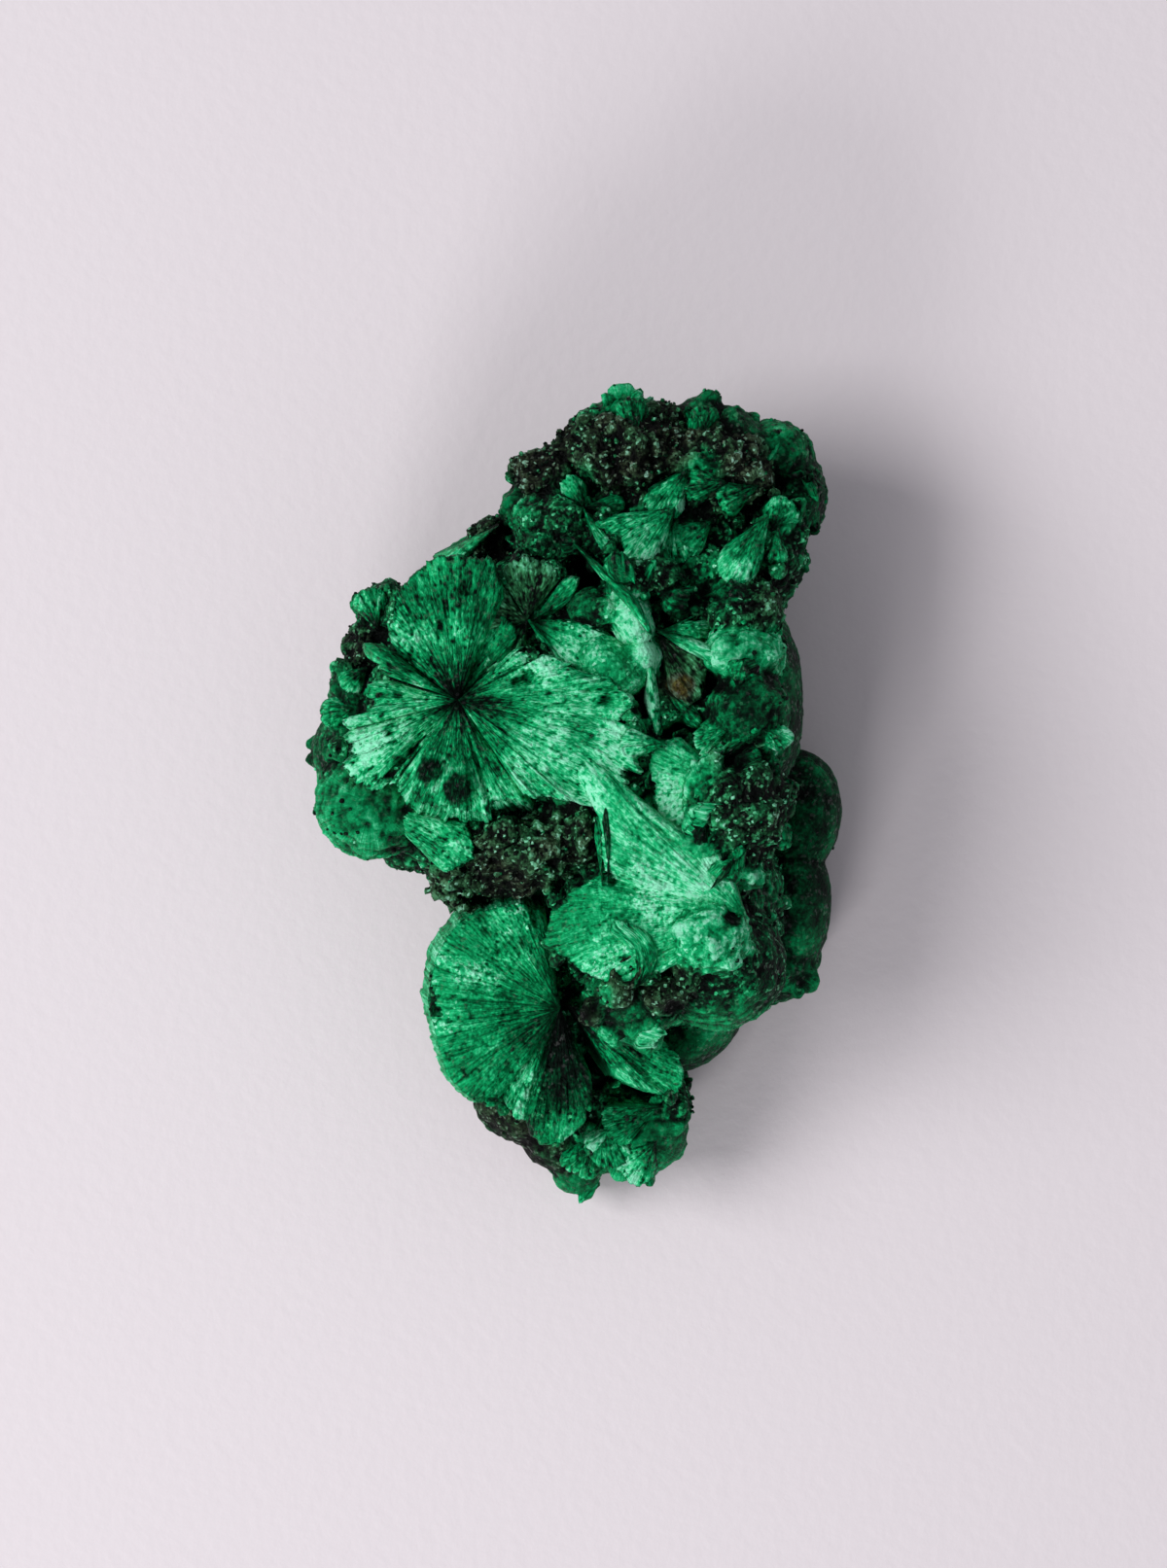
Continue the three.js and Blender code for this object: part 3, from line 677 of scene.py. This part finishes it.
# The body's lobes, as in the solid model: centre, radii, turn about Z, and the kind of surface.
LOBES = [
    ((4.2, -1, 4.5), (11.5, 26.5, 11), -8, "dark"),
    ((6.6, 18, 10.5), (10.4, 11.2, 11.6), 0, "velvet"), ((5, 3, 11), (12, 12, 14), 10, "velvet"),
    ((-9.2, 6.6, 10.5), (9.4, 9.8, 12.6), 0, "velvet"),
    ((7.2, -9, 10.5), (9.2, 9.8, 14), -10, "velvet"),
    ((-3.4, -17, 6.5), (8, 7.8, 8.6), 0, "velvet"), ((3.2, -25.4, 5), (5, 5, 6.4), 0, "velvet"),
    ((-9, 18.3, 12), (2.6, 1.5, 3), 38, "green"), ((-6.2, 19.2, 13), (2.8, 2.2, 4.2), 25, "crust"),
    ((-3.8, 21.9, 15.5), (2.2, 2.3, 3.4), 0, "dark"),
    ((-2.6, 24.4, 17), (2.2, 2.2, 2.8), 0, "crust"),
    ((-0.3, 26.8, 17.5), (1.8, 1.8, 2.4), 0, "crust"),
    ((1.7, 27.6, 16.5), (2.4, 2.6, 3.6), 0, "velvet"),
    ((3.8, 29, 16.5), (2.4, 2.3, 3.2), 0, "green"),
    ((6.6, 27.8, 16.5), (3, 2.4, 3.8), 0, "crust"),
    ((9.9, 28.6, 15.5), (2.4, 2.5, 3.6), 0, "dark"), ((12.5, 27.2, 17), (2.2, 2.5, 3.6), 0, "dark"),
    ((15.8, 26.2, 14.5), (2.9, 3.1, 5), 30, "knob"),
    ((17.4, 23.3, 13.5), (2.4, 3.5, 5.5), 0, "knob"),
    ((15.4, 18.5, 17.5), (2.4, 4, 5), 0, "velvet"), ((11, 25, 19.5), (4.2, 3.2, 3.4), 0, "crust"),
    ((4.6, 26, 19.5), (4.2, 3, 3.6), 0, "crust"),
    ((-1.4, 20.2, 19.4), (3.5, 3.2, 3), 0, "velvet"),
    ((9.2, 17.4, 20.2), (2.5, 2.6, 2.8), 0, "velvet"), ((8.8, 14.1, 20.6), (2.2, 2, 2.6), 0, "sparkly"),
    ((12.8, 13.7, 21.8), (3.2, 2.9, 3.6), 0, "sparkly"),
    ((12.8, 10.4, 22.6), (3.3, 2.5, 4), 0, "pale"), ((13.3, 6.2, 23.2), (3.3, 3.2, 4.4), 0, "knob"),
    ((12.2, -0.8, 24), (4.4, 4.8, 5), 0, "sparkly"),
    ((10.1, -10.9, 24.9), (3.3, 3.1, 3.8), 0, "pale"),
    ((11, -13.5, 18.4), (5.4, 5.1, 7), 0, "plush"),
    ((15.6, 7, 12.5), (2.4, 6.8, 8), 0, "smooth"), ((17.9, -1.6, 5.8), (3.6, 5, 5), 0, "smooth"),
    ((17.6, -9, 4.6), (3.1, 5.8, 5.4), 0, "smooth"), ((16.6, -14, 4.2), (2.9, 3.1, 4.2), 0, "dark"),
    ((-14.8, 14.1, 14.5), (2.5, 2.5, 4.6), 0, "velvet"), ((-16.1, 11, 13.5), (2, 2.6, 5), 0, "crust"),
    ((-17.4, 7.4, 12.5), (2.1, 3.2, 6), 0, "dark"), ((-18.3, 3.2, 12.5), (2.6, 3.2, 5.4), 0, "dark"),
    ((-15.8, -0.9, 15.2), (4.9, 4.5, 6), 0, "fibrous"),
    ((-13.2, -4.2, 12), (2.4, 2.2, 3.6), 0, "velvet"),
    ((-8.8, -6.8, 14.6), (2.7, 2.4, 4.6), 30, "stone"),
    ((-3.2, -4.7, 18.6), (6, 2.7, 4.6), 26, "stone"),
    ((4.7, -16, 19.6), (3.6, 3.2, 4.6), 0, "dark"), ((9.2, -19.2, 6.5), (5, 3, 6), 35, "smooth"),
    ((-4.6, -25.2, 5.4), (4.2, 3.2, 5.2), -38, "flank"),
    ((4.6, -27.2, 7.2), (4.4, 3.9, 5.4), 0, "green"), ((7.2, -25, 8), (1.9, 2.6, 4.2), 0, "velvet"),
    ((0.1, -30.6, 3.6), (2.1, 2.3, 3.4), 0, "green"),
    ((-2.4, 13.2, 13.6), (6.4, 6.2, 9), 0, "velvet"), ((-8.4, -3.2, 12), (6, 4, 7.6), 0, "velvet"),
    ((6.6, 11.4, 15), (6, 6, 8.2), 0, "velvet"),
]
# Small knobs that the solid model leaves out.
LOBES += [
    ((1.2, -17, 22.6), (1.1, 1, 1.3), 0, "druse"), ((4, -13.6, 25.8), (1.2, 1.1, 1.8), 0, "druse"),
    ((7, -15.6, 24.2), (1.8, 1.7, 2), 0, "druse"), ((3, -15.4, 24.2), (1.4, 1.3, 1.8), 0, "druse"),
    ((5, -18.2, 21.4), (1.6, 1.3, 2), 0, "green"), ((2.5, -18.5, 20.6), (1.2, 1, 1.6), 0, "pale"),
    ((8.6, -14, 24), (1.5, 1.6, 2), 0, "crust"), ((2.8, 9.4, 22.8), (3.3, 2.2, 3.2), -36, "bean"),
    ((-2.2, -28.2, 4.6), (3.2, 2.2, 4.6), -38, "flank"), ((4.5, 13.1, 23.4), (1.7, 2.3, 3), 15, "mint"),
    ((5, 10.5, 22.8), (1.4, 1.9, 2.6), 0, "mint"), ((3.4, 15, 23), (1.1, 1.5, 2.2), 30, "mint"),
    ((0.9, -3.2, 20.8), (1.7, 2.4, 3.8), 0, "stone"), ((-5.4, -3.4, 20.6), (2.4, 1.2, 2.6), 15, "stone"),
    ((10.1, -0.9, 25), (2.1, 3.5, 3.3), 8, "speckled"), ((9.6, -4, 25.4), (1.9, 1.7, 2.4), 0, "speckled"),
    ((11.6, -6, 25.2), (1.7, 1.3, 2.4), 0, "dark"), ((1.2, 13.9, 23), (1.9, 1.8, 2.2), 0, "dark"),
    ((13.4, -6.5, 24.6), (1.1, 1, 1.5), 20, "pale"), ((15.2, 3.7, 24.4), (0.8, 1.4, 2), -15, "pale"),
    ((4.4, 16.2, 25), (1.3, 1.4, 1.5), 0, "sparkly"), ((6.4, 16.6, 24.2), (1.8, 1.5, 1.8), 0, "sparkly"),
    ((-16.2, 2.2, 18.5), (1.6, 1.4, 2), 0, "dark"), ((2.4, 18.8, 22.6), (1.6, 1.6, 1.8), 0, "velvet"),
]
# Coloured patches, seen from above: place, radius, tone and rust. The near-black ones at
# (4, -13.6) and (7.5, -17) are painted shade in a hole and a painted shadow by the druse knobs.
PATCHES = [
    (8.5, 2, 2.5, 0.6, 0), (7.5, -4, 2.2, 0.62, 0), (10, -5.5, 1.8, 0.5, 0), (6.5, -1.5, 1.5, 0.66, 0),
    (10.5, 4, 1.3, 0.7, 0), (13.3, -6.6, 1, 0.85, 0), (15.4, 3.6, 1, 0.8, 0), (12, 10.4, 2, 0.7, 0),
    (7.9, 8.1, 1.5, 0.3, 1.0), (1.2, -17.2, 0.8, 0.1, 0.5), (4, -13.6, 0.7, 0.02, 0.6),
    (7.5, -17, 1, 0.02, 0.2), (11.8, -10.1, 0.9, 0.14, 0), (6, -18.5, 2, 0.45, 0),
    (2.5, -15.5, 1.5, 0.55, 0), (10.5, -18.6, 2.4, 0.5, 0), (13.5, -17, 1.6, 0.4, 0),
    (15, -8, 1.5, 0.35, 0),
    (3.8, 30.8, 1.4, 0.55, 0), (9.8, 30.5, 1.3, 0.4, 0), (9.4, 25, 1.8, 0.52, 0),
    (15.5, 28, 2, 0.42, 0), (-4.3, 22, 1.2, 0.5, 0), (-14.4, -0.8, 1.7, 0.36, 0.1),
    (-12.8, -1.8, 1, 0.2, 0.3), (-16.6, 1.4, 1.4, 0.34, 0.2), (-13.6, -4, 1.2, 0.3, 0.1),
    (0.5, 24, 1.5, 0.5, 0), (16, 21, 1.5, 0.5, 0), (8, 19, 2, 0.35, 0), (10.8, 15.8, 1.2, 0.3, 0),
]
# Cavities, seen from above: place, radius and depth. Each is sunk and painted near black, as painted
# shade.
PITS = [
    (8.4, 4.2, 1.3, 3), (5.1, 6.4, 0.9, 3), (0.7, 16.8, 1.0, 3), (7.1, 13.3, 0.7, 2),
    (2, -21.6, 1.5, 3), (-6, 19.3, 1.6, 2.5), (12.5, 2.4, 1.2, 2), (4, -13.6, 0.8, 1.5),
    (7.4, -16.8, 0.8, 1.5), (1.4, -22.9, 1.1, 2), (-6, -7.9, 2.6, 2.5), (10.7, 8.4, 0.9, 1.5),
]
# Each kind of surface: tone, rust, silk, and how far its grains stand out.
KINDS = {
    "crust": (0.14, 0.72, 0.0, 0.5),
    "stone": (0.3, 0.68, 0.0, 0.42),
    "druse": (0.1, 0.6, 0.0, 0.3),
    "sparkly": (0.17, 0.3, 0.0, 0.36),
    "speckled": (0.42, 0.1, 0.1, 0.34),
    "plush": (0.2, 0.0, 0.1, 0.18),
    "knob": (0.22, 0.0, 0.4, 0.2),
    "velvet": (0.2, 0.12, 0.1, 0.34),
    "dark": (0.27, 0.0, 0.4, 0.14),
    # The low tone of smooth, the lobes low on the east side, is partly painted shade, where the upper mass
    # shades them.
    "smooth": (0.23, 0.0, 0.5, 0.06),
    "green": (0.45, 0.0, 0.6, 0.12),
    "fibrous": (0.55, 0.05, 0.6, 0.24),
    "flank": (0.12, 0.6, 0.2, 0.16),
    "bean": (0.64, 0.08, 0.3, 0.08),
    "mint": (0.92, 0.04, 0.2, 0.12),
    "pale": (0.66, 0.0, 0.3, 0.24),
}
# Kinds that rise through the sprays, and kinds that no small sprays grow on.
STANDING = ("pale", "speckled", "sparkly", "bean", "mint", "fibrous", "druse")
BARE = ("crust", "stone", "pale", "smooth", "plush", "fibrous", "flank", "bean", "mint", "druse")
# How large the nodules on each kind are. The others have none.
NODULES = {"crust": 0.75, "stone": 0.7, "speckled": 0.5, "sparkly": 0.6, "druse": 0.4,
           "velvet": 0.8, "dark": 0.9, "green": 0.9, "pale": 0.6}
VOXEL = 0.31  # size of the cells that the lobes are grown together in
GRAINS = 3500
MARKED_ABOVE = 9  # lowest height of the pits and coloured patches
SPRAY_REACH = 2.4  # how far over a sheet a point still counts as being at it
CLEARANCE = 0.7  # how far under the sheets the body is pressed down
FLOOR_GAP = 0.45  # how far the broken face's hollows stand off the floor


def ball(divisions):
    made = bmesh.new()
    bmesh.ops.create_icosphere(made, subdivisions=divisions, radius=1)
    points = np.array([v.co[:] for v in made.verts])
    faces = np.array([[v.index for v in f.verts] for f in made.faces])
    made.free()
    return points, faces


def spin(turn):
    c, s = math.cos(math.radians(turn)), math.sin(math.radians(turn))
    return np.array([[c, s, 0], [-s, c, 0], [0, 0, 1]])


def placed(points, at, radii, turn):
    """Points of a ball of radius 1, moved to where a lobe has them."""
    return (points * radii) @ spin(turn) + at


def in_lobes(points):
    """How far out each point is in each lobe: 0 at its middle, 1 on its surface."""
    reached = []
    for at, radii, turn, _ in LOBES:
        local = (points - at) @ spin(-turn)
        reached.append(np.linalg.norm(local / radii, axis=1))
    return np.array(reached)


def under_sprays(points):
    """For each point, how far it stands above the sheet over or under it, or -inf outside all."""
    above = np.full(len(points), -np.inf)
    for made in fans:
        local = (points - made["apex"]) @ made["axes"].T
        start, end = made["rim"][0][0], made["rim"][-1][0]
        middle = (start + end) / 2
        heading = np.degrees(np.arctan2(local[:, 1], local[:, 0]))
        heading = middle + (heading - middle + 180) % 360 - 180
        out = np.hypot(local[:, 0], local[:, 1])
        inside = (heading > start) & (heading < end) & (out < rim_of(made, heading) - 0.15)
        top = made["bowl"] * (out / rim_of(made, heading)) ** 1.6
        height = np.where(inside, local[:, 2] - top, -np.inf)
        above = np.maximum(above, np.where(height < SPRAY_REACH, height, -np.inf))
    return above


def region_of(x, y):
    if y > 12.5 and x > -10:
        return "north_mass"
    if x < -5:
        return "west_mass"
    return "south_mass" if y < -13 and x < 8 else "middle_mass"


def parts_of(name):
    """The points and corners of each lobe and nodule in one part of the body."""
    shape, corners = ball(4)
    nodule, nodule_corners = ball(2)
    own = [(i, lobe) for i, lobe in enumerate(LOBES) if region_of(*lobe[0][:2]) == name]
    parts = [(placed(shape, *lobe[:3]), corners) for _, lobe in own]
    random = np.random.default_rng(4)
    for made in fans:
        apex, rim = made["apex"], made["rim"]
        for heading in np.arange(rim[0][0], rim[-1][0], math.degrees(0.9 / rim[0][1])):
            out = rim_of(made, heading) + random.uniform(-0.7, 0.05)
            way = math.radians(heading)
            down = made["bowl"] - random.uniform(0.5, 2.2)
            spread = random.uniform(0.4, 0.9) * random.uniform(0.75, 1.25, 3)
            spot = [out * math.cos(way), out * math.sin(way), down] @ made["axes"] + apex
            if random.random() < 0.5 and region_of(*apex[:2]) == name and spot[2] > 2:
                parts.append((nodule * spread + spot, nodule_corners))
    for i, (at, radii, turn, kind) in own:
        if kind not in NODULES:
            continue
        wanted = int(0.55 * (radii[0] * radii[1] + radii[1] * radii[2] + radii[0] * radii[2]))
        ways = random.normal(size=(wanted, 3))
        ways /= np.linalg.norm(ways, axis=1)[:, None]
        spots = placed(ways * 0.97, at, radii, turn)
        free = np.delete(in_lobes(spots), i, 0).min(0) > 0.93
        free &= (under_sprays(spots + [0, 0, 0.8]) == -np.inf) & (spots[:, 2] > 1.5)
        for spot in spots[free]:
            spread = NODULES[kind] * random.uniform(0.5, 1.25) * random.uniform(0.75, 1.25, 3)
            parts.append((nodule * spread + spot, nodule_corners))
    return parts


def grown_together(parts):
    """The parts as one skin: its points, normals, faces and edges."""
    starts = np.cumsum([0, *(len(points) for points, _ in parts)])
    mesh = bpy.data.meshes.new("lumps")
    mesh.from_pydata(np.concatenate([points for points, _ in parts]).tolist(), [],
                     np.concatenate([corners + start for (_, corners), start
                                     in zip(parts, starts)]).tolist())
    lumps = bpy.data.objects.new("lumps", mesh)
    bpy.context.scene.collection.objects.link(lumps)
    remesh = lumps.modifiers.new("Remesh", "REMESH")
    remesh.mode = "VOXEL"
    remesh.voxel_size = VOXEL
    soften = lumps.modifiers.new("Smooth", "SMOOTH")
    soften.factor = 0.5
    soften.iterations = 2
    shell = bpy.data.meshes.new_from_object(
        lumps.evaluated_get(bpy.context.evaluated_depsgraph_get()))
    bpy.data.objects.remove(lumps)

    def read(items, key, width, kind=float):
        values = np.empty(width * len(items), kind)
        items.foreach_get(key, values)
        return values.reshape(-1, width)

    return (read(shell.vertices, "co", 3), read(shell.vertices, "normal", 3),
            [tuple(p.vertices) for p in shell.polygons],
            read(shell.edges, "vertices", 2, np.int32))


def hollowness(skin, normals, edges):
    """How far each vertex lies under the average of its neighbourhood."""
    a, b = edges.T
    spread = skin
    for _ in range(4):
        total = np.stack([np.bincount(a, spread[b, i], len(skin))
                          + np.bincount(b, spread[a, i], len(skin)) for i in range(3)], 1)
        spread = total / np.bincount(edges.ravel(), minlength=len(skin))[:, None]
    return ((spread - skin) * normals).sum(1)


def make_mass(name):
    """One part of the body. It returns its points, normals, kinds and how far out of each lobe
    they are, for the grains that stand on it."""
    skin, normals, faces, edges = grown_together(parts_of(name))
    warped = skin + 0.5 * np.stack([noise(skin, 1.7, 60 + i) for i in range(3)], 1)
    near = in_lobes(warped)
    weights = np.exp(-14 * (near - near.min(0)))
    weights /= weights.sum(0)
    kinds = np.array([KINDS[kind] for *_, kind in LOBES])
    tone, rust, silk, grain = kinds.T @ weights
    lump = rough(skin, 1.5, 70)
    grit = rough(skin, 0.7, 80, 2)
    skin = skin + normals * (grain * (1.1 * lump + 1.1 * np.abs(grit) - 0.5))[:, None]
    for x, y, radius, depth in PITS:
        near_pit = np.hypot(skin[:, 0] - x, skin[:, 1] - y) + 0.5 * lump
        pit = np.exp(-((near_pit / radius) ** 4)) * (skin[:, 2] > MARKED_ABOVE)
        skin[:, 2] -= depth * pit
        # Painted shade: the pit's colour is darkened toward black.
        tone = tone * (1 - 0.9 * pit)
    for x, y, radius, patch_tone, patch_rust in PATCHES:
        near_patch = np.hypot(skin[:, 0] - x, skin[:, 1] - y) + 0.8 * lump
        share = np.exp(-((near_patch / radius) ** 4)) * (skin[:, 2] > MARKED_ABOVE)
        tone = tone + (patch_tone - tone) * share
        rust = rust + (patch_rust - rust) * share
        silk = silk + (0.5 - silk) * share

    above = under_sprays(skin)
    standing = np.isin(near.argmin(0), [i for i, (*_, kind) in enumerate(LOBES)
                                        if kind in STANDING])
    sunk = np.where((above > -CLEARANCE) & ~standing, above + CLEARANCE, 0)
    skin[:, 2] -= np.where(np.isfinite(sunk), sunk, 0)

    foot = 0.5 + 0.5 * rough(skin * [1, 1, 0], 2.2, 90)
    skin[:, 2] = np.maximum(skin[:, 2], FLOOR_GAP * np.clip(foot, 0, 1))

    hollow = hollowness(skin, normals, edges)
    patch = rough(skin, 2.6, 95)
    # patch and the grit flecks are the crust's own colour. The lump term paints raised lumps lighter and
    # their dips darker, and the hollow term below paints hollows darker and ridges lighter: painted shade
    # and painted light from the relief.
    tone = tone + 0.12 * patch + 0.1 * lump + 0.36 * step(grit, 0.4, 1.1) * step(grain, 0.15, 0.35)
    tone = tone - np.clip(2.4 * hollow, -0.16, 0.3)
    rusty = np.clip(rust + 0.3 * noise(skin, 2.1, 97), 0, np.maximum(rust, 0.78))
    rust = rusty * step(rust, 0.05, 0.2)
    nearest = near.argmin(0)
    centres = np.array([at for at, *_ in LOBES])[nearest]
    sizes = np.array([np.mean(radii) for _, radii, *_ in LOBES])[nearest]
    way = skin - centres
    polar = np.degrees(np.arccos(np.clip(way[:, 2] / np.linalg.norm(way, axis=1), -1, 1)))
    around = np.degrees(np.arctan2(way[:, 1], way[:, 0]))
    fibre = np.stack([around * np.minimum(1, sizes / 5), polar * sizes / 350, 31.0 * nearest], 1)
    new_piece(name, skin, faces, tone=tone, silk=silk, rust=rust, fibre=fibre,
              along=np.cross(normals, np.cross([0, 0, 1.0], normals)) + 1e-4)
    return skin, normals, kinds[nearest], near


def make_grains(skin, normals, kinds, near):
    """Small dark crystals standing on the crusted and velvety parts of the body. A few are painted pale,
    as painted glints.
    """
    random = np.random.default_rng(7)
    buried = (np.sort(near, 0)[1] < 0.9) | (under_sprays(skin) > -3) | (skin[:, 2] < 1)
    likely = np.where(buried, 0, kinds[:, 3] ** 3)
    chosen = random.choice(len(skin), GRAINS, replace=False, p=likely / likely.sum())
    shape, corners = ball(1)
    points, faces, tones, rusts = [], [], [], []
    for i, vertex in enumerate(chosen):
        size = random.uniform(0.08, 0.22) * random.uniform(0.7, 1.3, 3)
        spin = np.linalg.qr(random.normal(size=(3, 3)))[0]
        spin *= np.sign(np.linalg.det(spin))
        angular = shape * random.uniform(0.8, 1.2, (len(shape), 1))
        points.append((angular * size) @ spin + skin[vertex] + 0.03 * normals[vertex])
        faces.append(corners + i * len(shape))
        # A few grains are painted pale: painted glints.
        glint = random.random()
        tones.append(np.full(len(shape), 0.04 + 0.62 * glint**4))
        rusts.append(np.full(len(shape), kinds[vertex, 1] * random.uniform(0, 1.1)))
    points = np.concatenate(points)
    new_piece("crust_grains", points, np.concatenate(faces).tolist(), smooth=False,
              tone=np.concatenate(tones), rust=np.clip(np.concatenate(rusts), 0, 1),
              silk=np.zeros(len(points)), fibre=points, along=points * 0 + [0, 0, 1.0])


# Surroundings --------------------------------------------------------------------------------

VIEW_MIDDLE = (0.6, 0.56)
VIEW_SPAN = 120.975  # how much the picture's long side takes in, at the height LEVEL
LENS, SENSOR = 100.0, 36.0
LEVEL = 22.0
PAPER_SIZE = 3000.0


def make_surroundings():
    scene = bpy.context.scene
    scene.view_settings.view_transform = "Standard"
    paper = bpy.data.meshes.new("paper")
    half = PAPER_SIZE / 2 * MM
    paper.from_pydata([(x * half, y * half, 0) for x, y in
                       ((-1, -1), (1, -1), (1, 1), (-1, 1))], [], [(0, 1, 2, 3)])
    floor = bpy.data.objects.new("paper", paper)
    scene.collection.objects.link(floor)
    material = bpy.data.materials.new("pale_paper")
    material.use_nodes = True
    tree = material.node_tree
    shader = tree.nodes["Principled BSDF"]
    shader.inputs["Base Color"].default_value = linear(226, 218, 222)
    shader.inputs["Roughness"].default_value = 0.85
    place = tree.nodes.new("ShaderNodeTexCoord")
    grain = tree.nodes.new("ShaderNodeTexNoise")
    grain.inputs["Scale"].default_value = 900.0
    grain.inputs["Detail"].default_value = 3.0
    bump = tree.nodes.new("ShaderNodeBump")
    bump.inputs["Strength"].default_value = 0.25
    bump.inputs["Distance"].default_value = 0.0002
    tree.links.new(place.outputs["Object"], grain.inputs["Vector"])
    tree.links.new(grain.outputs["Fac"], bump.inputs["Height"])
    tree.links.new(bump.outputs["Normal"], shader.inputs["Normal"])
    paper.materials.append(material)

    world = bpy.data.worlds.new("room")
    world.use_nodes = True
    world.node_tree.nodes["Background"].inputs["Color"].default_value = (0.93, 0.93, 1.0, 1)
    world.node_tree.nodes["Background"].inputs["Strength"].default_value = 0.36
    scene.world = world

    def area(name, at, aim, size, power):
        light = bpy.data.lights.new(name, "AREA")
        light.size = size
        light.energy = power
        made = bpy.data.objects.new(name, light)
        way = np.array(aim) - at
        made.rotation_euler = Vector(way).to_track_quat("-Z", "Y").to_euler()
        made.location = at
        scene.collection.objects.link(made)

    area("window", (-0.55, 0.06, 0.62), (0, 0, 0.01), 0.42, 4.7)
    area("lamp", (-0.25, -0.6, 0.4), (0, 0, 0.01), 0.22, 2.1)

    camera = bpy.data.objects.new("camera", bpy.data.cameras.new("camera"))
    camera.data.lens = LENS
    camera.data.sensor_width = SENSOR
    distance = VIEW_SPAN * LENS / SENSOR
    camera.location = [v * MM for v in (*VIEW_MIDDLE, LEVEL + distance)]
    camera.data.clip_start = 0.01
    scene.collection.objects.link(camera)
    scene.camera = camera


make_surroundings()
make_sprays()
make_tufts()
scatter_tufts("north_top_sprays", 60, ((-6, 13, 15), (20, 33, 40)), 1)
scatter_tufts("east_top_sprays", 40, ((5, -20, 15), (20, 13, 40)), 2)
scatter_tufts("west_and_south_sprays", 40, ((-22, -33, 3), (10, 33, 22)), 3)
masses = [make_mass(name) for name in ("north_mass", "west_mass", "middle_mass", "south_mass")]
make_grains(*(np.concatenate(values, axis=-1 if values[0].shape[0] == len(LOBES) else 0)
              for values in zip(*masses)))
